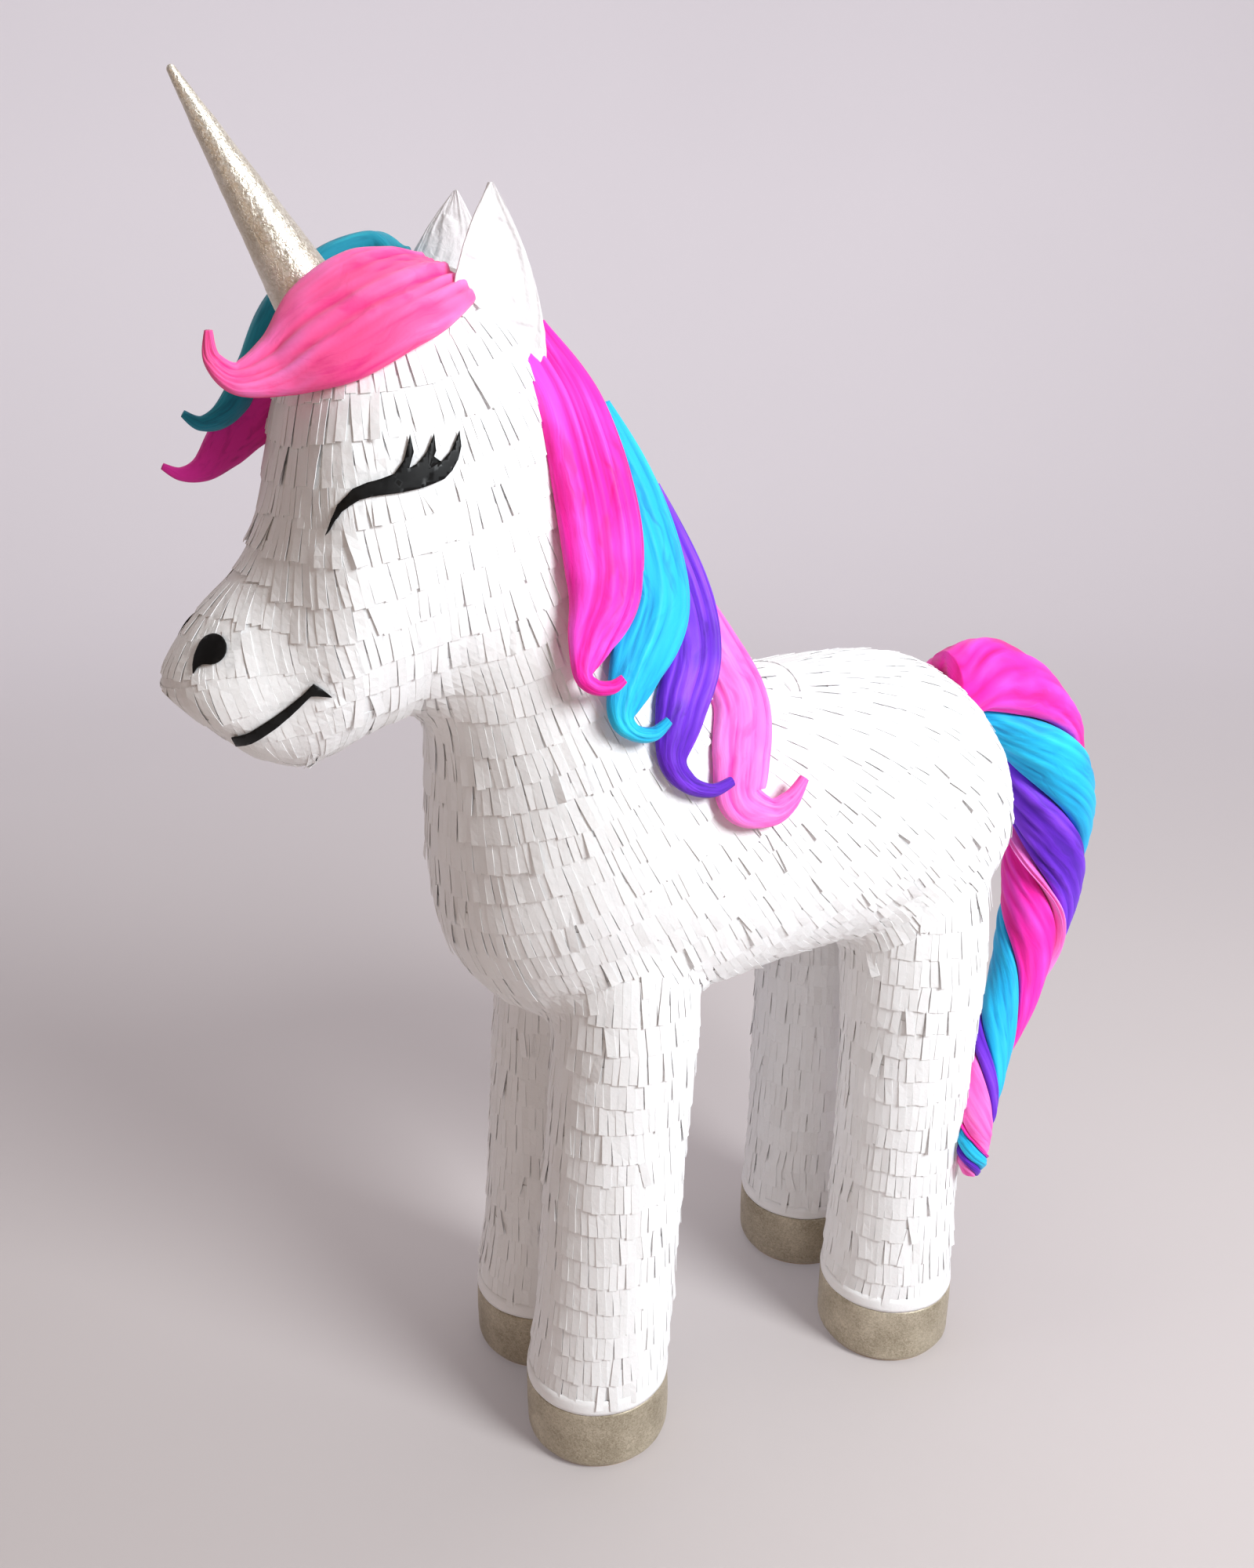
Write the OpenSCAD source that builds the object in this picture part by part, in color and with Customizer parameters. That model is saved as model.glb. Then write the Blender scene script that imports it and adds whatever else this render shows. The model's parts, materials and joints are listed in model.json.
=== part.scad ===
// Standing unicorn pinata: card carcass, paper fringe skin, crepe paper mane and tail.
// The unicorn faces -Y, its left side is +X, and its hooves stand on z = 0.

/* [Legs] */
// Distance between the two front legs, centre to centre
front_track = 134; // [133:1:146]
// Distance between the two hind legs, centre to centre
hind_track = 158; // [150:1:164]
// Outer radius of a hoof
hoof_r = 66; // [65:0.5:66]
// Height of a hoof
hoof_h = 62; // [50:1:70]

/* [Carcass] */
// Wall thickness of the card and paper shell
card_t = 3; // [2:0.5:4]
// Depth of the cut tissue fringe over the shell
fringe_t = 5; // [4:0.5:6]
// Air left between glued layers
glue_gap = 0.3; // [0.2:0.1:0.5]

/* [Filling door] */
// Length of the door along the back
door_len = 112; // [90:1:120]
// Width of the door across the back
door_w = 100; // [80:1:110]
// Gap round the door
door_gap = 1.2; // [0.8:0.1:2]

/* [Horn] */
// Length of the horn
horn_len = 180; // [140:1:185]
// Radius of the horn at its base
horn_r = 28; // [24:1:30]

/* [Hidden] */

// Sections of the whole body from the rump to the nose, each in a plane across it:
// [top y, top z, bottom y, bottom z, half width], measured over the fringe
SECTIONS = [
    [280, 568, 280, 528, 18],
    [267, 624, 269, 464, 78],
    [234, 664, 238, 436, 112],
    [185, 690, 188, 426, 132],
    [110, 696, 110, 428, 139],
    [30, 696, 22, 422, 138],
    [-25, 706, -70, 408, 136],
    [-52, 745, -150, 402, 134],
    [-72, 785, -218, 428, 130],
    [-92, 825, -261, 488, 120],
    [-112, 862, -270, 555, 106],
    [-135, 900, -270, 612, 94],
    [-160, 938, -268, 657, 90],
    [-185, 975, -273, 684, 94],
    [-215, 1008, -286, 692, 100],
    [-256, 1026, -298, 690, 106],
    [-300, 1020, -308, 686, 108],
    [-338, 992, -322, 682, 107],
    [-360, 948, -336, 676, 103],
    [-371, 900, -350, 670, 94],
    [-382, 856, -364, 665, 84],
    [-399, 822, -378, 664, 74],
    [-424, 798, -392, 668, 68],
    [-446, 775, -409, 677, 61],
    [-461, 752, -426, 692, 48],
    [-468, 734, -447, 712, 22]];
// Sections where the torso meets the neck, and the neck meets the head
neck_at = 9;
head_at = 13;
last = len(SECTIONS) - 1;
// Points round a section
around = 20;

// Depths below the outer surface
under_fringe = -fringe_t;
shell_out = -fringe_t - glue_gap;
shell_in = shell_out - card_t;
bulkhead_gap = 2.5;

// Feet, and the radius of a leg over its fringe
front_hoof_y = -158;
hind_hoof_y = 161;
sole_h = 4;
leg_r = 65;
// Legs: [z, y, growth of the radius, shift inwards], front and hind, from the hoof up into the torso
front_leg = [[sole_h + glue_gap, front_hoof_y, 0, 0], [hoof_h, front_hoof_y, 1, 0], [150, -149, -1, 0],
             [300, -138, -1, 0], [420, -128, 0, 1], [540, -122, 0, 14]];
hind_leg = [[sole_h + glue_gap, hind_hoof_y, 0, 0], [hoof_h, hind_hoof_y, 1, 0], [150, 162, -2, 0],
            [300, 165, -1, 0], [420, 169, 5, 6], [540, 170, 6, 22]];
leg_facets = 20;
leg_turn = 2;
// Inner radius of a hoof, round the leg tube
hoof_bore = leg_r + 1 + shell_out + glue_gap;

// Filling door: its middle along the back
door_y = 92;

// Horn: the middle of its base and its lean forwards
horn_base = [0, -326, 976];
horn_lean = atan2(73, 130);

// How far the whole figure is moved back to stand over the middle of its box
box_shift = 28;

white = [0.96, 0.96, 0.97];
card = [0.72, 0.56, 0.38];
hoof_gold = [0.59, 0.54, 0.47];
horn_gold = [0.80, 0.74, 0.62];
magenta = [0.94, 0.05, 0.59];
turquoise = [0.05, 0.65, 0.84];
purple = [0.33, 0.08, 0.70];
light_pink = [1.0, 0.40, 0.72];
coral_pink = [1.0, 0.35, 0.59];
teal = [0.05, 0.55, 0.65];
deep_magenta = [0.69, 0.05, 0.47];
black = [0.03, 0.03, 0.03];

// ---- geometry helpers ----

function unit(v) = v / norm(v);
function flat(l) = [for (a = l) for (b = a) b];
function rev(l) = [for (i = [len(l) - 1:-1:0]) l[i]];

// A smooth curve through points of any length of list, at u from 0 to len - 1
function curve_at(p, u) =
    let (n = len(p) - 1,
         i = min(floor(u), n - 1),
         f = u - i,
         a = p[max(i - 1, 0)], b = p[i], c = p[i + 1], d = p[min(i + 2, n)])
    0.5 * (2 * b + (c - a) * f + (2 * a - 5 * b + 4 * c - d) * f * f
        + (3 * b - a - 3 * c + d) * f * f * f);
function curve(p, steps) =
    [for (k = [0:steps * (len(p) - 1)]) curve_at(p, k / steps)];

// A closed solid through rings of points; loop joins the last ring to the first. The four-sided faces
// between the rings listed in crossed are split along their other diagonal
module skin(rings, loop = false, crossed = []) {
    n = len(rings);
    m = len(rings[0]);
    spans = loop ? n : n - 1;
    sides = [for (i = [0:spans - 1]) for (j = [0:m - 1])
        let (a = i * m + j,
             b = i * m + (j + 1) % m,
             c = ((i + 1) % n) * m + (j + 1) % m,
             d = ((i + 1) % n) * m + j)
        each len(search(i, crossed)) > 0 ? [[a, b, d], [b, c, d]] : [[a, b, c], [a, c, d]]];
    caps = loop ? [] : [[for (j = [m - 1:-1:0]) j], [for (j = [0:m - 1]) (n - 1) * m + j]];
    polyhedron(points = flat(rings), faces = concat(sides, caps));
}

// One watertight mesh out of what is joined or cut inside it
module one_mesh() {
    resize([0, 0, 0]) children();
}

// ---- the body's form ----

function section_point(k, j) =
    let (s = SECTIONS[k],
         a = 360 * j / around,
         mid = [0, s[0] + s[2], s[1] + s[3]] / 2,
         up = [0, s[0] - s[2], s[1] - s[3]] / 2)
    mid + up * sin(a) + [s[4] * cos(a), 0, 0];
function body_normal(k, j) =
    let (along = section_point(min(k + 1, last), j) - section_point(max(k - 1, 0), j),
         round = section_point(k, j + 1) - section_point(k, j - 1))
    unit(cross(round, along));
// Ring k of the body, grown by t along its normals
function body_ring(k, t) =
    [for (j = [0:around - 1]) section_point(k, j) + t * body_normal(k, j)];

module body_solid(from, to, t) {
    skin([for (k = [to:-1:from]) body_ring(k, t)]);
}

// The wall between depths t_in and t_out, open where it meets the next length of body. Its inner face
// is split into triangles as the outer face is, so layers laid on each other keep their gap
module body_wall(from, to, t_in, t_out) {
    outer = [for (k = [to:-1:from]) body_ring(k, t_out)];
    inner = [for (k = [from:to]) body_ring(k, t_in)];
    count = len(inner);
    if (from == 0) skin(concat(inner, outer), crossed = [for (i = [0:count - 1]) i]);
    else skin(concat(outer, inner), loop = to < last, crossed = [for (i = [count:2 * count - 1]) i]);
}

// Half of space on the left (+1) or the right (-1) of the midline
module side(s) {
    gap = glue_gap / 2;
    translate([s > 0 ? gap : -400 - gap, -600, 0]) cube([400, 1200, 1400]);
}

module body_half(s, from, to) {
    intersection() {
        body_wall(from, to, shell_in, shell_out);
        side(s);
    }
}

// The figure is drawn from the middle of its feet, and set with its origin under the middle of its box
module placed() {
    translate([0, box_shift, 0]) children();
}

// ---- carcass ----

module torso_shell(s) {
    color(card) one_mesh() difference() {
        body_half(s, 0, neck_at);
        door_prism(door_gap);
    }
}
module neck_shell(s) {
    color(card) one_mesh() body_half(s, neck_at, head_at);
}
module head_shell(s) {
    color(card) one_mesh() body_half(s, head_at, last);
}

// A card disc across the body at section k, fitting inside the shell, on the side of section k + s
module bulkhead(k, s) {
    ring = body_ring(k, shell_in - bulkhead_gap);
    step = unit(cross(ring[1] - ring[0], ring[5] - ring[0])) * card_t * s;
    other = [for (p = ring) p + step];
    one_mesh() skin(s > 0 ? [other, ring] : [ring, other]);
}
module chest_bulkhead() {
    color(card) bulkhead(neck_at, -1);
}
module poll_bulkhead() {
    color(card) bulkhead(head_at, 1);
}

// ---- fringe skins ----

module torso_fringe() {
    color(white) one_mesh() difference() {
        body_wall(0, neck_at, under_fringe, 0);
        door_prism(door_gap);
        for (hind = [false, true], s = [-1, 1]) leg_solid(hind, s, under_fringe);
    }
}
module neck_fringe() {
    color(white) one_mesh() body_wall(neck_at, head_at, under_fringe, 0);
}
module head_fringe() {
    color(white) one_mesh() body_wall(head_at, last, under_fringe, 0);
}

// ---- legs ----

function leg_rings(hind, s, t) =
    let (spec = hind ? hind_leg : front_leg,
         x = s * (hind ? hind_track : front_track) / 2)
    [for (q = spec) [for (j = [0:leg_facets - 1])
        let (a = 360 * j / leg_facets + leg_turn,
             r = leg_r + q[2] + t)
        [x - s * q[3] + r * cos(a), q[1] + r * sin(a), q[0]]]];
function raised(ring, z) = [for (p = ring) [p[0], p[1], z]];
module leg_solid(hind, s, t) {
    skin(rev(leg_rings(hind, s, t)));
}
// The same leg made longer at both ends, to cut with
module leg_cutter(hind, s, t) {
    rings = leg_rings(hind, s, t);
    foot = [for (p = rings[0]) p - [0, 0, 5]];
    top = [for (p = rings[len(rings) - 1]) p + [0, 0, 5]];
    skin(rev(concat([foot], rings, [top])));
}
// The leg from the top of its hoof upwards
module leg_above_hoof(hind, s) {
    rings = leg_rings(hind, s, 0);
    upper = [for (i = [2:len(rings) - 1]) rings[i]];
    skin(rev(concat([raised(rings[1], hoof_h + glue_gap)], upper)));
}
module leg_tube(hind, s) {
    color(card) one_mesh() difference() {
        leg_solid(hind, s, shell_out);
        leg_cutter(hind, s, shell_in);
        body_solid(0, head_at, shell_out + 2 * glue_gap);
    }
}
module leg_fringe(hind, s) {
    color(white) one_mesh() difference() {
        leg_above_hoof(hind, s);
        leg_cutter(hind, s, under_fringe);
        body_solid(0, head_at, glue_gap);
    }
}

module at_foot(hind, s) {
    translate([s * (hind ? hind_track : front_track) / 2, hind ? hind_hoof_y : front_hoof_y, 0]) children();
}
// A hoof: a glittered card band with a rounded bottom edge, round the foot of the leg tube
module hoof(hind, s) {
    edge = 9;
    arc = [for (a = [-50:10:0]) [hoof_r - edge + edge * cos(a), edge + edge * sin(a)]];
    color(hoof_gold) at_foot(hind, s) rotate_extrude($fn = 48)
        polygon(concat([[hoof_bore, hoof_h], [hoof_bore, arc[0][1]]], arc, [[hoof_r, hoof_h]]));
}
module sole(hind, s) {
    color(card) at_foot(hind, s) cylinder(r = hoof_bore - glue_gap, h = sole_h, $fn = 48);
}

// ---- horn and ears ----

module on_horn_axis() {
    translate(horn_base) rotate([horn_lean, 0, 0]) children();
}
module horn_cone() {
    color(card) one_mesh() difference() {
        on_horn_axis() cylinder(r1 = horn_r - 1.3, r2 = 1.2, h = horn_len - 8, $fn = 32);
        on_horn_axis() translate([0, 0, -5])
            cylinder(r1 = horn_r - 3.6, r2 = 1, h = horn_len - 30, $fn = 32);
        body_solid(head_at, last, glue_gap);
    }
}
module horn_wrap() {
    color(horn_gold) one_mesh() difference() {
        on_horn_axis() cylinder(r1 = horn_r, r2 = 3, h = horn_len, $fn = 32);
        on_horn_axis() translate([0, 0, -1])
            cylinder(r1 = horn_r - 0.9, r2 = 1.6, h = horn_len - 6.5, $fn = 32);
        body_solid(head_at, last, glue_gap);
    }
}

// An ear: a cupped leaf of card and tissue, opening outwards and a little backwards
function ear_across(s) = unit([-0.3 * s, 0.95, 0]);
function ear_out(s) = unit([0.95 * s, 0.3, 0]);
function ear_mid(s, v) = [s * (70 - 33 * v), -224 + 9 * v, 950 + 120 * v];
function ear_width(v) = 42 * (1 - pow(v, 2.2)) + 1.5;
function ear_cup(v) = 13 * (1 - v) + 2;
// The arc at height v, for a half width w and a depth d
function ear_arc(s, v, w, d) =
    [for (a = [-80:20:80]) ear_mid(s, v) + ear_across(s) * w * sin(a) - ear_out(s) * d * cos(a)];
function ear_ring(s, v) =
    let (cup = ear_cup(v),
         ring = concat(ear_arc(s, v, ear_width(v), cup),
                       rev(ear_arc(s, v, ear_width(v) - 1.2, cup - 4 * (1 - v) - 1.6))))
    s > 0 ? ring : rev(ring);
module ear(s) {
    color(white) one_mesh() difference() {
        skin([for (v = [0:0.125:1]) ear_ring(s, v)]);
        body_solid(head_at - 1, last, glue_gap);
    }
}

// ---- face: black paper shapes on the fringe ----

// A thin layer lying on the head over an outline drawn in the side view
module on_head(s) {
    one_mesh() intersection() {
        body_wall(head_at, last, glue_gap, 1.5);
        mirror([s > 0 ? 0 : 1, 0, 0]) translate([10, 0, 0]) rotate([90, 0, 90])
            linear_extrude(200) children();
    }
}
// A band along a curve that is fat in the middle and pointed at its ends
module brush(points, w, steps = 4) {
    p = curve(points, steps);
    n = len(p) - 1;
    function nrm(i) = let (d = unit(p[min(i + 1, n)] - p[max(i - 1, 0)])) [-d[1], d[0]];
    function half(i) = 0.3 + w / 2 * sin(180 * min(i / n * 0.92 + 0.04, 1));
    polygon(concat([for (i = [0:n]) p[i] + nrm(i) * half(i)],
        [for (i = [n:-1:0]) p[i] - nrm(i) * half(i)]));
}
module eye(s) {
    color(black) on_head(s) {
        brush([[-357, 846], [-348, 866], [-323, 878], [-292, 885], [-269, 909]], 10);
        brush([[-316, 882], [-305, 892], [-300, 909]], 6);
        brush([[-299, 884], [-290, 894], [-286, 910]], 6);
    }
}
module nostril(s) {
    color(black) on_head(s) {
        translate([-435, 770]) circle(r = 10, $fn = 20);
        brush([[-441, 770], [-447, 760], [-448, 748]], 6);
    }
}
module mouth() {
    color(black) {
        for (s = [-1, 1]) on_head(s) {
            brush([[-430, 706], [-407, 720], [-390, 733], [-368, 749]], 5.5);
            brush([[-373, 748], [-368, 745], [-364, 741]], 3);
        }
    }
}

// ---- crepe paper locks ----

// A lock along control points [[x, y, z], half width, half thickness], flat side facing out
module lock(spec, out, t = 0, steps = 3) {
    p = curve([for (q = spec) q[0]], steps);
    w = curve([for (q = spec) [q[1], q[2]]], steps);
    n = len(p) - 1;
    skin([for (i = [0:n])
        let (along = unit(p[min(i + 1, n)] - p[max(i - 1, 0)]),
             across = unit(cross(along, out)),
             up = cross(across, along))
        [for (j = [0:11])
            p[i] + across * (w[i][0] + t) * cos(30 * j) + up * (w[i][1] + t) * sin(30 * j)]]);
}

out_left = [0.9, 0.15, 0.4];
MAGENTA_LOCK = [[[26, -190, 974], 20, 9], [[58, -170, 926], 28, 11], [[80, -158, 860], 34, 12],
                [[98, -160, 800], 31, 12], [[110, -178, 762], 18, 8], [[118, -187, 741], 8, 6],
                [[124, -181, 732], 6, 5], [[128, -169, 731], 5, 4.5], [[130, -160, 737], 3.5, 3.5]];
TURQUOISE_LOCK = [[[40, -146, 918], 20, 9], [[66, -122, 852], 28, 11], [[92, -114, 784], 28, 11],
                  [[112, -142, 738], 22, 9], [[122, -158, 709], 12, 7], [[127, -152, 695], 7, 5.5],
                  [[131, -137, 692], 5.5, 5], [[132, -124, 701], 3.5, 3.5]];
PURPLE_LOCK = [[[40, -104, 856], 20, 9], [[68, -84, 790], 27, 11], [[94, -84, 742], 26, 11],
               [[116, -106, 702], 22, 9], [[127, -118, 669], 13, 7], [[132, -107, 649], 8, 5.5],
               [[135, -88, 641], 5.5, 5], [[135, -70, 646], 4, 4]];
PINK_LOCK = [[[36, -72, 788], 18, 9], [[62, -50, 736], 25, 11], [[92, -38, 692], 27, 11],
             [[118, -52, 656], 27, 9], [[130, -58, 628], 22, 8], [[136, -36, 615], 12, 6.5],
             [[136, -17, 622], 8, 5.5], [[134, -3, 638], 4, 4]];

module mane_magenta() {
    color(magenta) one_mesh() difference() {
        lock(MAGENTA_LOCK, out_left);
        body_solid(0, last, glue_gap);
        ear_block();
    }
}
module mane_turquoise() {
    color(turquoise) one_mesh() difference() {
        lock(TURQUOISE_LOCK, out_left);
        body_solid(0, last, glue_gap);
        lock(MAGENTA_LOCK, out_left, glue_gap);
    }
}
module mane_purple() {
    color(purple) one_mesh() difference() {
        lock(PURPLE_LOCK, out_left);
        body_solid(0, last, glue_gap);
        lock(MAGENTA_LOCK, out_left, glue_gap);
        lock(TURQUOISE_LOCK, out_left, glue_gap);
    }
}
module mane_pink() {
    color(light_pink) one_mesh() difference() {
        lock(PINK_LOCK, out_left);
        body_solid(0, last, glue_gap);
        lock(TURQUOISE_LOCK, out_left, glue_gap);
        lock(PURPLE_LOCK, out_left, glue_gap);
    }
}

// The room that an ear and its cup take up
module ear_block() {
    for (s = [-1, 1]) skin([for (v = [0:0.125:1])
        let (w = ear_width(v) + 2,
             front = [for (e = [1, -1]) ear_mid(s, v) + ear_across(s) * w * e + ear_out(s) * 2],
             ring = concat(ear_arc(s, v, w, ear_cup(v) + 1.5), front))
        s > 0 ? ring : rev(ring)]);
}

out_brow = [0.72, -0.3, 0.62];
out_brow_right = [-0.72, -0.3, 0.62];
out_far = [-0.9, -0.35, 0.15];
CORAL_LOCK = [[[40, -252, 1008], 28, 8], [[55, -275, 1004], 36, 11], [[62, -304, 994], 43, 12],
              [[56, -344, 972], 40, 12], [[48, -372, 954], 24, 9], [[46, -398, 946], 12, 6],
              [[46, -413, 958], 6, 4], [[48, -414, 976], 2.5, 3]];
TEAL_LOCK = [[[-38, -250, 1018], 20, 8], [[-56, -268, 1022], 28, 11], [[-62, -306, 1008], 31, 11],
             [[-58, -342, 982], 25, 11], [[-46, -370, 946], 17, 9], [[-34, -394, 920], 11, 7],
             [[-30, -412, 913], 6, 4], [[-30, -424, 920], 2.5, 3]];
DEEP_LOCK = [[[-44, -350, 932], 22, 7], [[-54, -374, 914], 25, 8], [[-58, -394, 893], 17, 8],
             [[-58, -410, 879], 10, 6], [[-58, -426, 876], 5, 4], [[-58, -438, 882], 2.5, 3]];

module horn_block() {
    on_horn_axis() cylinder(r1 = horn_r + glue_gap, r2 = 3, h = horn_len, $fn = 32);
}
module forelock_pink() {
    color(coral_pink) one_mesh() difference() {
        lock(CORAL_LOCK, out_brow);
        body_solid(head_at - 2, last, glue_gap);
        horn_block();
        ear_block();
    }
}
module forelock_teal() {
    color(teal) one_mesh() difference() {
        lock(TEAL_LOCK, out_brow_right);
        body_solid(head_at - 2, last, glue_gap);
        horn_block();
        ear_block();
        lock(CORAL_LOCK, out_brow, glue_gap);
    }
}
module forelock_magenta() {
    color(deep_magenta) one_mesh() difference() {
        lock(DEEP_LOCK, out_far);
        body_solid(head_at - 2, last, glue_gap);
        lock(TEAL_LOCK, out_brow_right, glue_gap);
        lock(CORAL_LOCK, out_brow, glue_gap);
        horn_block();
    }
}

// ---- tail: four strands twisted round a rolled paper core ----

TAIL = [[[0, 240, 654], 32], [[2, 282, 652], 42], [[8, 334, 614], 48], [[14, 364, 556], 49],
        [[20, 374, 486], 45], [[28, 362, 412], 40], [[50, 324, 344], 29], [[84, 264, 296], 25],
        [[128, 218, 262], 18], [[139, 206, 240], 17], [[143, 203, 222], 15], [[145, 201, 208], 8]];
// Turns of the strands from the root to the tip, and the angle they start at
tail_turns = 2.6;
tail_start = -150;
tail_path = curve([for (q = TAIL) q[0]], 4);
tail_r = curve([for (q = TAIL) q[1]], 4);

// Points round the tail at step i: local angles a, at a share f of its radius
function tail_frame(i) =
    let (n = len(tail_path) - 1,
         along = unit(tail_path[min(i + 1, n)] - tail_path[max(i - 1, 0)]),
         across = unit(cross(along, [0.1, 1, 0.3])),
         up = cross(across, along))
    [across, up];
function tail_point(i, r, a) =
    let (f = tail_frame(i))
    tail_path[i] + f[0] * r * cos(a) + f[1] * r * sin(a);
module tail_strand(q) {
    n = len(tail_path) - 1;
    one_mesh() difference() {
        skin([for (i = [0:n])
            let (turn = tail_start + 360 * tail_turns * i / n - 90 * q,
                 r = tail_r[i],
                 edge = 45 - 30 * glue_gap / r)
            concat([for (a = [-edge:edge / 3:edge])
                       tail_point(i, r * (0.86 + 0.14 * cos(2 * a)), turn + a)],
                   [for (a = [edge, 0, -edge]) tail_point(i, r * 0.22 + glue_gap, turn + a)])]);
        body_solid(0, 5, glue_gap);
        leg_solid(true, 1, glue_gap);
    }
}
module tail_core() {
    n = len(tail_path) - 1;
    color(card) one_mesh() difference() {
        skin([for (i = [0:n]) [for (a = [0:45:315]) tail_point(i, tail_r[i] * 0.2, a)]]);
        body_solid(0, 5, glue_gap);
    }
}
module tail_magenta() {
    color(magenta) tail_strand(0);
}
module tail_turquoise() {
    color(turquoise) tail_strand(1);
}
module tail_purple() {
    color(purple) tail_strand(2);
}
module tail_pink() {
    color(light_pink) tail_strand(3);
}

// ---- filling door in the back, on a card hinge along its right edge ----

// The door's outline carried straight up through the back, grown by gap
module door_prism(gap) {
    r = 14;
    translate([0, door_y, 600]) linear_extrude(150)
        hull() for (x = [-1, 1], y = [-1, 1])
            translate([x * (door_w / 2 - r), y * (door_len / 2 - r)]) circle(r = r + gap, $fn = 16);
}
module door_panel() {
    color(card) one_mesh() intersection() {
        body_wall(0, neck_at, shell_in, shell_out);
        door_prism(0);
    }
}
module door_fringe() {
    color(white) one_mesh() intersection() {
        body_wall(0, neck_at, under_fringe, 0);
        door_prism(0);
    }
}

placed() torso_shell(1);  // torso_shell_left
placed() torso_shell(-1);  // torso_shell_right
placed() neck_shell(1);  // neck_shell_left
placed() neck_shell(-1);  // neck_shell_right
placed() head_shell(1);  // head_shell_left
placed() head_shell(-1);  // head_shell_right
placed() chest_bulkhead();
placed() poll_bulkhead();
placed() torso_fringe();
placed() neck_fringe();
placed() head_fringe();
placed() leg_tube(false, 1);  // leg_tube_front_left
placed() leg_tube(false, -1);  // leg_tube_front_right
placed() leg_tube(true, 1);  // leg_tube_hind_left
placed() leg_tube(true, -1);  // leg_tube_hind_right
placed() leg_fringe(false, 1);  // leg_fringe_front_left
placed() leg_fringe(false, -1);  // leg_fringe_front_right
placed() leg_fringe(true, 1);  // leg_fringe_hind_left
placed() leg_fringe(true, -1);  // leg_fringe_hind_right
placed() hoof(false, 1);  // hoof_front_left
placed() hoof(false, -1);  // hoof_front_right
placed() hoof(true, 1);  // hoof_hind_left
placed() hoof(true, -1);  // hoof_hind_right
placed() sole(false, 1);  // sole_front_left
placed() sole(false, -1);  // sole_front_right
placed() sole(true, 1);  // sole_hind_left
placed() sole(true, -1);  // sole_hind_right
placed() horn_cone();
placed() horn_wrap();
placed() ear(1);  // ear_left
placed() ear(-1);  // ear_right
placed() eye(1);  // eye_left
placed() eye(-1);  // eye_right
placed() nostril(1);  // nostril_left
placed() nostril(-1);  // nostril_right
placed() mouth();
placed() forelock_pink();
placed() forelock_teal();
placed() forelock_magenta();
placed() mane_magenta();
placed() mane_turquoise();
placed() mane_purple();
placed() mane_pink();
placed() tail_core();
placed() tail_magenta();
placed() tail_turquoise();
placed() tail_purple();
placed() tail_pink();
placed() door_panel();
placed() door_fringe();
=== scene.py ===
"""Standing unicorn pinata: cut tissue fringe over a card body, crepe paper mane, forelock and tail."""
import json
import math
import random

import bmesh
import bpy
import numpy as np
from mathutils import Matrix, Vector, noise
from mathutils.bvhtree import BVHTree


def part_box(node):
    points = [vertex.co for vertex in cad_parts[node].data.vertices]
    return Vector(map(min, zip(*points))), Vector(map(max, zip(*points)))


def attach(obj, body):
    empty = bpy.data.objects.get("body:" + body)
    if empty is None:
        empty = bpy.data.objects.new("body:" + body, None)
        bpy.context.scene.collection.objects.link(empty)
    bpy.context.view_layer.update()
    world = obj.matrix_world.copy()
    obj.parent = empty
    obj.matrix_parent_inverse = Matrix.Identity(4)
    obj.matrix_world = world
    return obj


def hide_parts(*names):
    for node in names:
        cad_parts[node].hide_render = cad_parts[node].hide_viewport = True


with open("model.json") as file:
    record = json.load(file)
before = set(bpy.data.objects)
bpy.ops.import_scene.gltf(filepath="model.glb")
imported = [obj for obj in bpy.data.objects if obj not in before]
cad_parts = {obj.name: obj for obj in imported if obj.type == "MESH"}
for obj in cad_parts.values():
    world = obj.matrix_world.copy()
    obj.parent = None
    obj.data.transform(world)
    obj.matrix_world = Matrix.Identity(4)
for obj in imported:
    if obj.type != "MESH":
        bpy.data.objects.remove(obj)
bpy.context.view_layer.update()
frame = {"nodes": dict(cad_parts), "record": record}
scene = bpy.context.scene
chance = random.Random(11)

MM = 0.001
SHIFT = 28.0  # the figure is drawn from between its feet and stands this far further back, in mm
BODY, DOOR = "carcass", "filling_door"
LEGS = ("front_left", "front_right", "hind_left", "hind_right")


def drawn(x, y, z):
    """A point of the drawing, in mm, as a point of the frame."""
    return Vector((x, y + SHIFT, z)) * MM


def smoothly(rows, u):
    """The row at u, from 0 to 1, on a smooth curve through the rows."""
    n = len(rows) - 1
    u = min(max(u, 0.0), 1.0) * n
    i = min(int(u), n - 1)
    f = u - i
    a, b, c, d = rows[max(i - 1, 0)], rows[i], rows[i + 1], rows[min(i + 2, n)]
    second, third = 2 * a - 5 * b + 4 * c - d, 3 * b - a - 3 * c + d
    return 0.5 * (2 * b + (c - a) * f + second * f * f + third * f ** 3)


# ---- camera, light and floor ----

def set_camera():
    """Stands in front on the left side, a little above the back, looking down."""
    azimuth, pitch = math.radians(64), math.radians(19.7)
    data = bpy.data.cameras.new("camera")
    data.sensor_width = 36
    data.lens = 36 * 1700 / 2000
    data.clip_start = 0.05
    camera = bpy.data.objects.new("camera", data)
    scene.collection.objects.link(camera)
    camera.location = (0.969, -0.539, 0.990)
    level = Vector((-math.sin(azimuth), math.cos(azimuth), 0))
    forward = level * math.cos(pitch) - Vector((0, 0, math.sin(pitch)))
    camera.rotation_mode = "QUATERNION"
    camera.rotation_quaternion = forward.to_track_quat("-Z", "Y")
    scene.camera = camera


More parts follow.
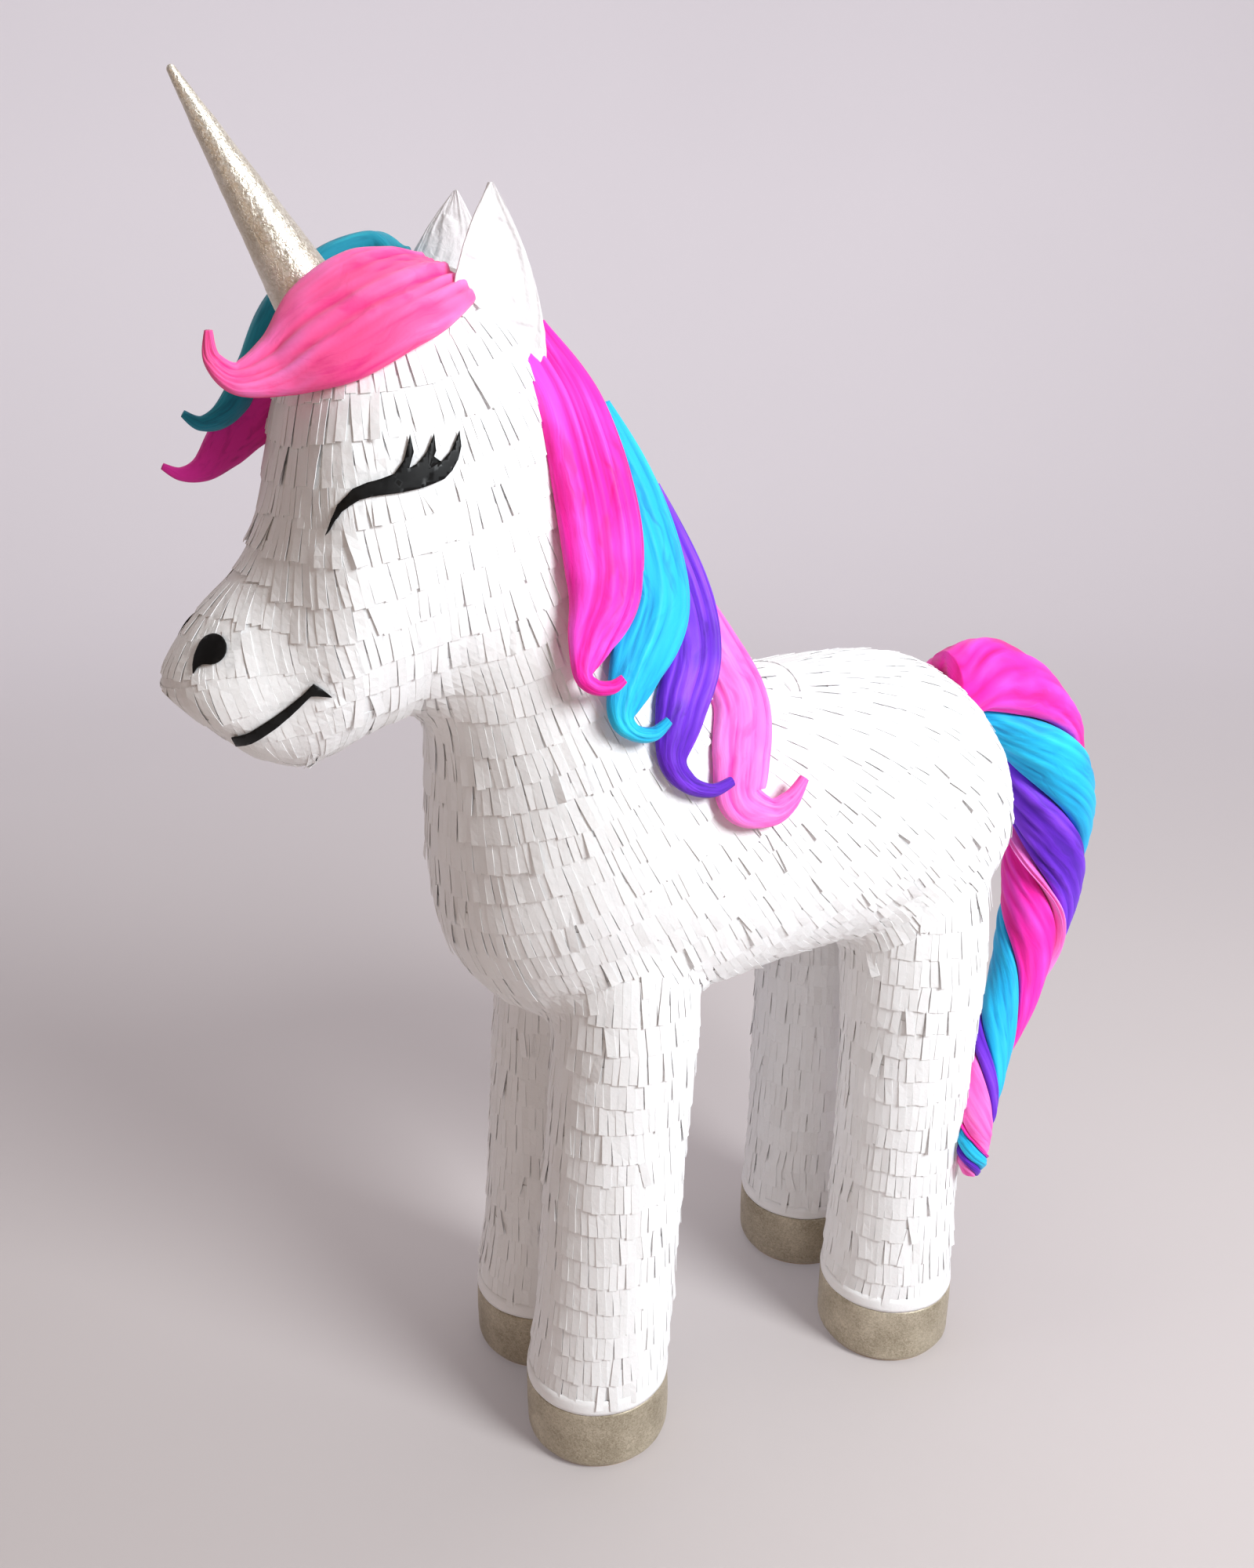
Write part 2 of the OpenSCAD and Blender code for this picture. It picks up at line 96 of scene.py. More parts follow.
def add_light(name, place, target, size, power, colour):
    data = bpy.data.lights.new(name, "AREA")
    data.shape = "DISK"
    data.size = size
    data.energy = power
    data.color = colour
    light = bpy.data.objects.new(name, data)
    scene.collection.objects.link(light)
    light.location = place
    light.rotation_mode = "QUATERNION"
    light.rotation_quaternion = (Vector(target) - Vector(place)).to_track_quat("-Z", "Y")


def set_light():
    """A cool key from the left side, a soft top light, and a weak warm fill on the front."""
    world = bpy.data.worlds.new("studio")
    world.use_nodes = True
    scene.world = world
    sky = world.node_tree.nodes["Background"]
    sky.inputs["Color"].default_value = (1.0, 0.84, 0.66, 1)
    sky.inputs["Strength"].default_value = 0.2
    middle = (0, 0, 0.6)
    add_light("key", (2.05, 0.95, 1.95), middle, 1.1, 86, (0.92, 0.965, 1.0))
    add_light("top", (-0.2, 0.1, 2.8), middle, 1.6, 13, (1.0, 0.97, 0.95))
    add_light("fill", (1.5, -2.0, 0.9), middle, 1.6, 3.6, (1.0, 0.68, 0.40))
    scene.view_settings.view_transform = "Standard"
    scene.view_settings.look = "None"


# ---- node helpers ----

def new_group(name, inputs, outputs):
    """A shader node group and its input and output nodes; inputs are (name, kind, value)."""
    tree = bpy.data.node_groups.new(name, "ShaderNodeTree")
    for label, kind, value in inputs:
        socket = tree.interface.new_socket(label, in_out="INPUT", socket_type="NodeSocket" + kind)
        socket.default_value = value
    for label, kind in outputs:
        tree.interface.new_socket(label, in_out="OUTPUT", socket_type="NodeSocket" + kind)
    return tree, tree.nodes.new("NodeGroupInput").outputs, tree.nodes.new("NodeGroupOutput").inputs


def wire(tree, value, socket):
    """Sets a socket from another socket or from a plain value."""
    if isinstance(value, bpy.types.NodeSocket):
        tree.links.new(value, socket)
    elif value is not None:
        socket.default_value = value


def node(tree, kind, values=(), **settings):
    made = tree.nodes.new("ShaderNode" + kind)
    for key, value in settings.items():
        setattr(made, key, value)
    for key, value in dict(values).items():
        wire(tree, value, made.inputs[key])
    return made


def math_node(tree, operation, a, b=None, clamp=False):
    made = node(tree, "Math", operation=operation, use_clamp=clamp)
    wire(tree, a, made.inputs[0])
    wire(tree, b, made.inputs[1])
    return made.outputs[0]


def mixed(tree, share, a, b):
    made = node(tree, "Mix", data_type="RGBA")
    wire(tree, share, made.inputs["Factor"])
    wire(tree, a, made.inputs["A"])
    wire(tree, b, made.inputs["B"])
    return made.outputs["Result"]


def spread(tree, value, low, high, to_low=0.0, to_high=1.0):
    """The value's range from low to high spread over the range from to_low to to_high."""
    made = node(tree, "MapRange", {"Value": value, "From Min": low, "From Max": high,
                                   "To Min": to_low, "To Max": to_high})
    return made.outputs["Result"]


def coordinates(tree, stretch=(1, 1, 1)):
    source = node(tree, "TexCoord")
    return node(tree, "Mapping", {"Vector": source.outputs["Object"], "Scale": stretch}).outputs["Vector"]


def new_material(name, roughness):
    """A material, its tree and its Principled BSDF."""
    material = bpy.data.materials.new(name)
    material.use_nodes = True
    tree = material.node_tree
    shader = tree.nodes["Principled BSDF"]
    shader.inputs["Roughness"].default_value = roughness
    return material, tree, shader


def place_group(tree, group, values):
    made = tree.nodes.new("ShaderNodeGroup")
    made.node_tree = group
    for key, value in values.items():
        wire(tree, value, made.inputs[key])
    return made.outputs


def bump(tree, shader, height, strength, distance):
    made = node(tree, "Bump", {"Height": height, "Strength": strength, "Distance": distance})
    tree.links.new(made.outputs["Normal"], shader.inputs["Normal"])


# ---- shared effects ----

def tissue_effect():
    """Tissue paper: each strip a little warmer or cooler, with fine crumples."""
    tree, given, put = new_group("tissue_paper", [
        ("Paper", "Color", (0.93, 0.93, 0.95, 1)), ("Shade", "Color", (0.8, 0.78, 0.76, 1)),
        ("Crumple Scale", "Float", 180.0)], [("Colour", "Color"), ("Height", "Float")])
    # The tint layer: a random tone per strip; on the ears it also holds painted shade along the creases, and
    # on the backing painted shade in the gaps between strips
    tint = node(tree, "Attribute", attribute_name="tint").outputs["Fac"]
    where = coordinates(tree)
    cloudy = node(tree, "TexNoise", {"Vector": where, "Scale": 9.0, "Detail": 2.0}).outputs["Fac"]
    crumple = node(tree, "TexNoise", {"Vector": where, "Scale": given["Crumple Scale"], "Detail": 3.0,
                                      "Distortion": 0.6}).outputs["Fac"]
    grey = math_node(tree, "ADD", math_node(tree, "MULTIPLY", tint, 0.5),
                     spread(tree, cloudy, 0.35, 0.7, 0.0, 0.25), clamp=True)
    wire(tree, mixed(tree, grey, given["Paper"], given["Shade"]), put["Colour"])
    wire(tree, crumple, put["Height"])
    return tree


def crepe_effect():
    """Crepe paper: full colour, darker in its folds and along fine lengthwise pleats as painted shade, and
    paler on its stretched crowns, partly the paper's own stretched colour and partly painted highlight.
    """
    tree, given, put = new_group("crepe_paper", [
        ("Crown", "Color", (1, 0, 0, 1)), ("Paper", "Color", (1, 0, 0, 1)), ("Fold", "Color", (0.5, 0, 0, 1)),
        ("Pleats", "Float", 11.0)], [("Colour", "Color"), ("Height", "Float"), ("Stretch", "Float")])
    crown = node(tree, "Attribute", attribute_name="crown").outputs["Fac"]
    where = coordinates(tree)
    broad = node(tree, "TexNoise", {"Vector": where, "Scale": 16.0, "Detail": 2.0}).outputs["Fac"]
    bend = node(tree, "TexNoise", {"Vector": where, "Scale": 22.0, "Detail": 2.0}).outputs["Color"]
    source = node(tree, "TexCoord").outputs["UV"]
    shifted = node(tree, "VectorMath", {"Scale": 0.16}, operation="SCALE")
    wire(tree, bend, shifted.inputs[0])
    warped = node(tree, "VectorMath", operation="ADD")
    wire(tree, source, warped.inputs[0])
    wire(tree, shifted.outputs["Vector"], warped.inputs[1])
    pleat_scale = node(tree, "CombineXYZ", {"X": given["Pleats"], "Y": 4.0, "Z": 1.0}).outputs["Vector"]
    across = node(tree, "VectorMath", operation="MULTIPLY")
    wire(tree, warped.outputs["Vector"], across.inputs[0])
    wire(tree, pleat_scale, across.inputs[1])
    pleat = node(tree, "TexNoise", {"Vector": across.outputs["Vector"], "Scale": 2.0, "Detail": 3.0,
                                    "Roughness": 0.55, "Distortion": 0.4}).outputs["Fac"]
    grain = node(tree, "TexNoise", {"Vector": where, "Scale": 420.0, "Detail": 1.0}).outputs["Fac"]
    # Painted shade and highlight: where the crown value is low, in the folds, and along the fine pleats the
    # colour goes to Fold; where it is high it goes to Crown
    deep = spread(tree, crown, 0.0, 0.32, 1.0, 0.0)
    high = math_node(tree, "MULTIPLY", spread(tree, crown, 0.3, 0.85), spread(tree, broad, 0.3, 0.6))
    fine = math_node(tree, "MULTIPLY", spread(tree, pleat, 0.36, 0.5, 0.55, 0.0),
                     spread(tree, broad, 0.65, 0.4))
    colour = mixed(tree, high, given["Paper"], given["Crown"])
    colour = mixed(tree, fine, colour, given["Fold"])
    wire(tree, mixed(tree, math_node(tree, "MULTIPLY", deep, 0.9), colour, given["Fold"]), put["Colour"])
    wire(tree, math_node(tree, "ADD", pleat, math_node(tree, "MULTIPLY", grain, 0.12)), put["Height"])
    wire(tree, spread(tree, crown, 0.0, 1.0, 0.8, 0.55), put["Stretch"])
    return tree


def speckle_effect():
    """Grains of foil or glitter, each at its own tilt, their colour lighter and darker grain by grain as
    painted glints and shade.
    """
    tree, given, put = new_group("foil_grains", [
        ("Light", "Color", (0.9, 0.85, 0.7, 1)), ("Dark", "Color", (0.4, 0.35, 0.25, 1)),
        ("Grain Scale", "Float", 400.0), ("Cloud Scale", "Float", 14.0)],
        [("Colour", "Color"), ("Height", "Float"), ("Grain", "Float")])
    where = coordinates(tree)
    cells = node(tree, "TexVoronoi", {"Vector": where, "Scale": given["Grain Scale"], "Randomness": 1.0})
    cell = node(tree, "SeparateColor", {"Color": cells.outputs["Color"]}).outputs["Red"]
    crease_scale = math_node(tree, "MULTIPLY", given["Grain Scale"], 0.35)
    creases = node(tree, "TexNoise", {"Vector": where, "Scale": crease_scale, "Detail": 4.0,
                                      "Distortion": 1.2}).outputs["Fac"]
    cloud = node(tree, "TexNoise", {"Vector": where, "Scale": given["Cloud Scale"],
                                    "Detail": 3.0}).outputs["Fac"]
    # Painted glints and shade: each grain, the crinkles and a broad cloud move the colour between Dark and
    # Light
    shade = math_node(tree, "ADD", math_node(tree, "MULTIPLY", cell, 0.4),
                      spread(tree, creases, 0.3, 0.7, 0.0, 0.45))
    shade = math_node(tree, "ADD", shade, spread(tree, cloud, 0.3, 0.7, -0.25, 0.25), clamp=True)
    wire(tree, mixed(tree, shade, given["Dark"], given["Light"]), put["Colour"])
    wire(tree, math_node(tree, "ADD", math_node(tree, "MULTIPLY", cell, 0.5), creases), put["Height"])
    wire(tree, cell, put["Grain"])
    return tree


# ---- finishes ----

def tissue_finish(name, effect, paper, shade, strength):
    """Thin matt paper that lets a little light through; strength is that of its crumples."""
    material, tree, shader = new_material(name, 0.72)
    shader.inputs["Subsurface Weight"].default_value = 0.22
    shader.inputs["Subsurface Radius"].default_value = (0.010, 0.009, 0.009)
    shader.inputs["Sheen Weight"].default_value = 0.1
    made = place_group(tree, effect, {"Paper": paper + (1,), "Shade": shade + (1,)})
    wire(tree, made["Colour"], shader.inputs["Base Color"])
    bump(tree, shader, made["Height"], strength, 0.0015)
    return material


def crepe_finish(name, effect, crown, paper, fold):
    """Crepe paper in one colour, given on its crowns with painted highlight, flat, and in its folds with
    painted shade.
    """
    material, tree, shader = new_material(name, 0.6)
    shader.inputs["Sheen Weight"].default_value = 0.15
    shader.inputs["Specular IOR Level"].default_value = 0.35
    made = place_group(tree, effect, {"Crown": crown + (1,), "Paper": paper + (1,), "Fold": fold + (1,)})
    wire(tree, made["Colour"], shader.inputs["Base Color"])
    wire(tree, made["Stretch"], shader.inputs["Roughness"])
    bump(tree, shader, made["Height"], 0.35, 0.0025)
    return material


def grain_finish(name, effect, light, dark, grain, cloud, metal, rough, strength, distance):
    """Foil or glitter: two shades, light for painted glints and dark for painted shade, the scales of grain
    and cloud, metal share, roughness range and bump.
    """
    material, tree, shader = new_material(name, 0.4)
    shader.inputs["Metallic"].default_value = metal
    made = place_group(tree, effect, {"Light": light + (1,), "Dark": dark + (1,), "Grain Scale": grain,
                                      "Cloud Scale": cloud})
    wire(tree, made["Colour"], shader.inputs["Base Color"])
    wire(tree, spread(tree, made["Grain"], 0.0, 1.0, rough[0], rough[1]), shader.inputs["Roughness"])
    bump(tree, shader, made["Height"], strength, distance)
    return material


def card_finish():
    """Brown card: long fibres, flecks and the faint ribs of its corrugation."""
    material, tree, shader = new_material("brown_card", 0.85)
    where = coordinates(tree)
    fibres = node(tree, "TexNoise", {"Vector": coordinates(tree, (1, 1, 9)), "Scale": 160.0, "Detail": 4.0})
    ribs = node(tree, "TexWave", {"Vector": where, "Scale": 22.0, "Distortion": 0.3}, bands_direction="Y")
    flecks = node(tree, "TexNoise", {"Vector": where, "Scale": 900.0, "Detail": 1.0})
    dark, pale = (0.47, 0.33, 0.20, 1), (0.62, 0.46, 0.30, 1)
    fleck, groove = (0.30, 0.20, 0.11, 1), (0.36, 0.25, 0.15, 1)
    colour = mixed(tree, spread(tree, fibres.outputs["Fac"], 0.3, 0.7), dark, pale)
    colour = mixed(tree, spread(tree, flecks.outputs["Fac"], 0.62, 0.75, 0.0, 0.5), colour, fleck)
    colour = mixed(tree, spread(tree, ribs.outputs["Fac"], 0.0, 1.0, 0.0, 0.15), colour, groove)
    wire(tree, colour, shader.inputs["Base Color"])
    bump(tree, shader, ribs.outputs["Fac"], 0.15, 0.001)
    return material


def black_finish():
    """Smooth black paper with a slight gloss and a few faint scuffs."""
    material, tree, shader = new_material("black_paper", 0.4)
    shader.inputs["Specular IOR Level"].default_value = 0.2
    scuffs = node(tree, "TexNoise", {"Vector": coordinates(tree), "Scale": 60.0, "Detail": 5.0,
                                     "Distortion": 0.8}).outputs["Fac"]
    black, scuffed = (0.003, 0.003, 0.003, 1), (0.014, 0.014, 0.014, 1)
    wire(tree, mixed(tree, spread(tree, scuffs, 0.45, 0.8), black, scuffed), shader.inputs["Base Color"])
    wire(tree, spread(tree, scuffs, 0.3, 0.7, 0.35, 0.55), shader.inputs["Roughness"])
    bump(tree, shader, scuffs, 0.12, 0.001)
    return material


def floor_finish():
    """Pale floor, and a faint glow of its own on the wall behind the figure's right side."""
    material, tree, shader = new_material("pale_floor", 0.9)
    where = coordinates(tree)
    cloud = node(tree, "TexNoise", {"Vector": where, "Scale": 1.2, "Detail": 2.0}).outputs["Fac"]
    dull, clear = (0.50, 0.455, 0.44, 1), (0.53, 0.485, 0.47, 1)
    wire(tree, mixed(tree, cloud, dull, clear), shader.inputs["Base Color"])
    shader.inputs["Emission Color"].default_value = (0.88, 0.85, 0.96, 1)
    behind = node(tree, "VectorMath", operation="DOT_PRODUCT")
    wire(tree, where, behind.inputs[0])
    behind.inputs[1].default_value = (-0.9, 0.44, 0.0)
    glow = spread(tree, behind.outputs["Value"], -1.5, 4.5, 0.0, 0.48)
    wire(tree, glow, shader.inputs["Emission Strength"])
    return material


tissue = tissue_effect()
crepe = crepe_effect()
grains = speckle_effect()
FINISH = {
    "white_tissue": tissue_finish("white_tissue", tissue, (0.96, 0.96, 0.965), (0.84, 0.83, 0.82), 0.25),
    # The ears' wrap is the white tissue given darker, as painted shade on the ears
    "white_tissue_wrap": tissue_finish("tissue_wrap", tissue, (0.78, 0.76, 0.77), (0.62, 0.59, 0.58), 0.7),
    # Horn foil and hoof glitter: their light and dark colours are the painted glints and shade of their
    # grains
    "metallic_paper": grain_finish("horn_foil", grains, (0.96, 0.93, 0.85), (0.66, 0.59, 0.47),
                                   700.0, 22.0, 0.8, (0.3, 0.5), 0.7, 0.0013),
    "hoof_glitter": grain_finish("hoof_glitter", grains, (0.68, 0.61, 0.48), (0.31, 0.26, 0.18),
                                 900.0, 26.0, 0.45, (0.35, 0.65), 0.5, 0.0006),
    "card": card_finish(),
    "black_paper": black_finish(),
}
# Crepe paper colours: on a crown, lighter as painted highlight; flat; and in a fold, darker as painted shade
CREPE = {
    "coral": ((1.0, 0.20, 0.56), (1.0, 0.09, 0.32), (0.82, 0.01, 0.22)),
    "teal": ((0.01, 0.40, 0.52), (0.004, 0.26, 0.38), (0.0, 0.10, 0.18)),
    "deep_magenta": ((1.0, 0.06, 0.56), (0.78, 0.02, 0.36), (0.36, 0.0, 0.14)),
    "magenta": ((1.0, 0.07, 0.72), (0.96, 0.01, 0.42), (0.70, 0.0, 0.20)),
    "turquoise": ((0.02, 0.66, 0.95), (0.005, 0.46, 0.80), (0.0, 0.18, 0.45)),
    "purple": ((0.26, 0.05, 0.88), (0.12, 0.01, 0.55), (0.04, 0.002, 0.24)),
    "pink": ((1.0, 0.28, 0.76), (1.0, 0.15, 0.58), (0.92, 0.02, 0.36)),
}
for crepe_colour, shades in CREPE.items():
    FINISH["crepe_" + crepe_colour] = crepe_finish("crepe_" + crepe_colour, crepe, *shades)


# ---- making pieces ----

def add_piece(bm, name, slot, body=BODY, stands_for=(), smooth=True):
    """Makes a mesh a piece that rides on a body, in its slot's finish."""
    mesh = bpy.data.meshes.new(name)
    bm.to_mesh(mesh)
    bm.free()
    mesh.polygons.foreach_set("use_smooth", [smooth] * len(mesh.polygons))
    mesh.materials.append(FINISH[slot])
    piece = bpy.data.objects.new(name, mesh)
    scene.collection.objects.link(piece)
    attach(piece, body)
    if stands_for:
        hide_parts(*stands_for)
    return piece


def lofted(place, around, along, layer=None):
    """A grid rolled into a closed tube. place(a, t) gives the point at a round it and t along it.

    With a layer, place gives the point's value for that layer too.
    """
    bm = bmesh.new()
    bm.loops.layers.uv.new("UVMap")
    values = bm.verts.layers.float.new(layer) if layer else None
    bmesh.ops.create_grid(bm, x_segments=around, y_segments=along, size=0.5, calc_uvs=True)
    for v in bm.verts:
        made = place(v.co.x + 0.5, v.co.y + 0.5)
        if layer:
            v.co, v[values] = made
        else:
            v.co = made
    bmesh.ops.remove_doubles(bm, verts=bm.verts, dist=1e-6)
    bmesh.ops.holes_fill(bm, edges=[e for e in bm.edges if e.is_boundary], sides=0)
    bmesh.ops.recalc_face_normals(bm, faces=bm.faces)
    return bm


# ---- the body's form ----

# From the rump to the nose: top y, top z, bottom y, bottom z, half width
SECTIONS = np.array([
    (280, 568, 280, 528, 18), (267, 624, 269, 464, 78), (234, 664, 238, 436, 112), (185, 690, 188, 426, 132),
    (110, 696, 110, 428, 139), (30, 696, 22, 422, 138), (-25, 706, -70, 408, 136), (-52, 745, -150, 402, 134),
    (-72, 785, -218, 428, 130), (-92, 825, -261, 488, 120), (-112, 862, -270, 555, 106),
    (-135, 900, -270, 612, 94), (-160, 938, -268, 657, 90), (-185, 975, -273, 684, 94),
    (-215, 1008, -286, 692, 100), (-256, 1026, -298, 690, 106), (-300, 1020, -308, 686, 108),
    (-338, 992, -322, 682, 107), (-360, 948, -336, 676, 103), (-371, 900, -350, 670, 94),
    (-382, 856, -364, 665, 84), (-399, 822, -378, 664, 74), (-424, 798, -392, 668, 68),
    (-446, 775, -409, 677, 61), (-461, 752, -426, 692, 48), (-468, 734, -447, 712, 22)], float)
# From the hoof up: z, y, radius, shift inwards
FRONT_LEG = np.array([(4, -158, 65, 0), (62, -158, 66, 0), (150, -149, 64, 0), (300, -138, 64, 0),
                      (420, -128, 65, 1), (540, -122, 65, 14)], float)
HIND_LEG = np.array([(4, 161, 65, 0), (62, 161, 66, 0), (150, 162, 63, 0), (300, 165, 64, 0),
                     (420, 169, 70, 6), (540, 170, 71, 22)], float)
FRONT_TRACK, HIND_TRACK = 134, 158
HOOF_TOP = 62 * MM
GLUE_DEPTH = 3.0 * MM  # how far under the fringe's outer surface the strips are glued


def body_point(a, t):
    """A point of the body at a round the section that lies at t, from rump to nose."""
    top_y, top_z, bottom_y, bottom_z, half = smoothly(SECTIONS, t)
    turn = 2 * math.pi * a
    rise = math.sin(turn) / 2
    return drawn(half * math.cos(turn), (top_y + bottom_y) / 2 + (top_y - bottom_y) * rise,
                 (top_z + bottom_z) / 2 + (top_z - bottom_z) * rise)


def leg_point(spec, track, s):
    def place(a, t):
        z, y, r, inwards = smoothly(spec, t)
        turn = 2 * math.pi * a
        return drawn(s * (track / 2 - inwards) + r * math.cos(turn), y + r * math.sin(turn), z)
    return place


def body_form():
    """The whole body and its legs as one smooth closed mesh, sunk to where the strips are glued."""
    bm = lofted(body_point, 56, 130)
    for spec, track in ((FRONT_LEG, FRONT_TRACK), (HIND_LEG, HIND_TRACK)):
        for s in (1, -1):
            leg = bpy.data.meshes.new("leg_form")
            part = lofted(leg_point(spec, track, s), 40, 60)
            part.to_mesh(leg)
            part.free()
            bm.from_mesh(leg)
            bpy.data.meshes.remove(leg)
    mesh = bpy.data.meshes.new("form")
    bm.to_mesh(mesh)
    bm.free()
    holder = bpy.data.objects.new("form", mesh)
    scene.collection.objects.link(holder)
    remesh = holder.modifiers.new("remesh", "REMESH")
    remesh.mode = "VOXEL"
    remesh.voxel_size = 0.006
    soften = holder.modifiers.new("soften", "SMOOTH")
    soften.factor = 0.5
    soften.iterations = 7
    made = bpy.data.meshes.new_from_object(holder.evaluated_get(bpy.context.evaluated_depsgraph_get()))
    bpy.data.objects.remove(holder)
    bm = bmesh.new()
    bm.from_mesh(made)
    bmesh.ops.triangulate(bm, faces=bm.faces)
    bm.normal_update()
    sunk = [v.co - v.normal * GLUE_DEPTH for v in bm.verts]
    for v, co in zip(bm.verts, sunk):
        v.co = co
    return bm


def thinned(bm, share):
    """A copy of a mesh that keeps this share of its triangles."""
    mesh = bpy.data.meshes.new("thinned")
    bm.to_mesh(mesh)
    holder = bpy.data.objects.new("thinned", mesh)
    scene.collection.objects.link(holder)
    thin = holder.modifiers.new("thin", "DECIMATE")
    thin.ratio = share
    made = bpy.data.meshes.new_from_object(holder.evaluated_get(bpy.context.evaluated_depsgraph_get()))
    bpy.data.objects.remove(holder)
    copy = bmesh.new()
    copy.from_mesh(made)
    return copy


form = body_form()
form.verts.ensure_lookup_table()
skin = BVHTree.FromBMesh(form)
CO = np.array([v.co for v in form.verts], float)
TRIS = np.array([[v.index for v in f.verts] for f in form.faces])

FRINGES = [part + "_fringe" for part in ("torso", "neck", "head", "door")]
FRINGES += ["leg_fringe_" + leg for leg in LEGS]


def node_tree_of(name):
    mesh = frame["nodes"][name].data
    return BVHTree.FromPolygons([v.co for v in mesh.vertices], [p.vertices for p in mesh.polygons])


fringe_trees = {name: node_tree_of(name) for name in FRINGES}


def fringe_at(p):
    """The CAD fringe that a point belongs to."""
    return min(FRINGES, key=lambda name: fringe_trees[name].find_nearest(p)[3])


# ---- face: outlines of the black paper shapes, side view, y and z in mm in the frame ----

EYE = [(-329, 848), (-325, 859), (-321, 868), (-312, 878), (-303, 882), (-295, 884), (-286, 887), (-279, 895),
       (-273, 911), (-272, 900), (-276, 890), (-270, 893), (-263, 900), (-257, 911), (-257, 900), (-263, 889),
       (-254, 893), (-246, 900), (-239, 912), (-239, 902), (-242, 894), (-247, 887), (-253, 882), (-262, 879),
       (-270, 877), (-282, 875), (-293, 874), (-302, 873), (-309, 871), (-315, 867), (-320, 863), (-324, 857),
       (-327, 851)]
# A round nostril with a tail: right and up in mm, seen straight on from its own side
NOSTRIL_ROUND = [math.radians(a) for a in range(175, -96, -15)]
NOSTRIL_TAIL = [(-5, -11.5), (-8, -14), (-10.5, -18), (-12, -12), (-12.6, -6)]
NOSTRIL = [(11.5 * math.cos(a), 11.0 * math.sin(a)) for a in NOSTRIL_ROUND] + NOSTRIL_TAIL
NOSTRIL_AT = (-403, 768)
MOUTH = [(-397, 708), (-387, 712), (-377, 719), (-368, 725), (-359, 732), (-351, 739), (-344, 747),
         (-339, 743), (-333, 737), (-341, 738), (-346, 738), (-353, 730), (-360, 723), (-368, 716),
         (-377, 709), (-385, 703), (-393, 699)]
FACE = np.array(EYE + MOUTH) * MM


def near_face_shape(p):
    """How far under a black paper shape a point lies, from 0, clear, to 1."""
    if p.y > -0.2 or abs(p.x) < 0.02:
        return 0.0
    away = np.hypot(FACE[:, 0] - p.y, FACE[:, 1] - p.z).min()
    round_nostril = math.hypot(NOSTRIL_AT[0] * MM - p.y, NOSTRIL_AT[1] * MM - 0.002 - p.z) - 0.009
    return min(1.0, max(0.0, (0.011 - min(away, round_nostril)) / 0.004))


# ---- strips of tissue ----

# How far strips lean back as they hang, along the body: y in metres, rearward run per drop
LEAN_Y = np.array([-0.46, -0.40, -0.34, -0.28, -0.20, -0.10, 0.0, 0.08, 0.16, 0.24, 0.32, 0.40])
LEAN = np.array([0.40, 0.30, 0.15, 0.18, 0.33, 0.50, 0.72, 0.95, 0.98, 0.85, 0.62, 0.5])
FINE_Y = np.linspace(-0.5, 0.45, 200)
FINE_LEAN = np.interp(FINE_Y, LEAN_Y, LEAN)
RUN = np.concatenate([[0], np.cumsum((FINE_LEAN[1:] + FINE_LEAN[:-1]) / 2 * np.diff(FINE_Y))])
ROW = 25.0 * MM  # from one glued row to the next
STRIP_W = 6.6 * MM
STRIP_L = 38.0 * MM
SHORTEST = 9 * MM  # a strip cut shorter than this is left out
STEPS = 5  # bends along a strip
PAPER_T = 0.4 * MM


def fall(p, on_leg):
    """The uphill direction at a point: strips hang against it."""
    return Vector((0, 0, 1)) if on_leg else Vector((0, -np.interp(p.y, FINE_Y, FINE_LEAN), 1))


def row_height(on_leg):
    """The number at each vertex of the form whose levels are the glued rows."""
    wave = np.array([noise.noise(Vector(c) * 9) for c in CO]) * 4 * MM
    height = CO[:, 2] + wave * (0.35 if on_leg else 1.0)
    return height if on_leg else height - np.interp(CO[:, 1], FINE_Y, RUN)


def level_lines(height, level):
    """The lines where the form's surface crosses a level, as lists of points."""
    above = height > level
    crossed = TRIS[above[TRIS].any(1) & ~above[TRIS].all(1)]
    links = {}
    for tri in crossed.tolist():
        ends = [tuple(sorted((tri[i], tri[i - 1]))) for i in range(3) if above[tri[i]] != above[tri[i - 1]]]
        links.setdefault(ends[0], []).append(ends[1])
        links.setdefault(ends[1], []).append(ends[0])

    def point(edge):
        a, b = edge
        share = (level - height[a]) / (height[b] - height[a])
        return CO[a] + (CO[b] - CO[a]) * share

    lines, done = [], set()
    for start in links:
        if start in done:
            continue
        line, here = [start], start
        done.add(start)
        while True:
            onward = [e for e in links[here] if e not in done]
            if not onward:
                break
            here = onward[0]
            done.add(here)
            line.append(here)
        if line[0] in links[line[-1]] and len(line) > 2:
            line.append(line[0])
        lines.append(np.array([point(e) for e in line]))
    return lines


def row_roots(height, levels):
    """Where the strips of each row are glued, one strip width apart: root, drop and lean of its sheet."""
    for level in levels:
        for line in level_lines(height, level):
            run = np.concatenate([[0], np.cumsum(np.linalg.norm(np.diff(line, axis=0), axis=1))])
            if run[-1] < 2 * STRIP_W:
                continue
            s = chance.uniform(0, STRIP_W)
            sheet, drop, lean = 0, 0.0, 0.0
            while s < run[-1]:
                if sheet <= 0:  # a new length of cut tissue starts a little higher or lower
                    sheet = chance.randint(6, 15)
                    drop = chance.uniform(-2.5, 2.5) * MM
                    lean = chance.gauss(0, 0.035)
                sheet -= 1
                yield Vector([np.interp(s, run, line[:, i]) for i in range(3)]), drop, lean
                s += STRIP_W * chance.uniform(0.95, 1.05)


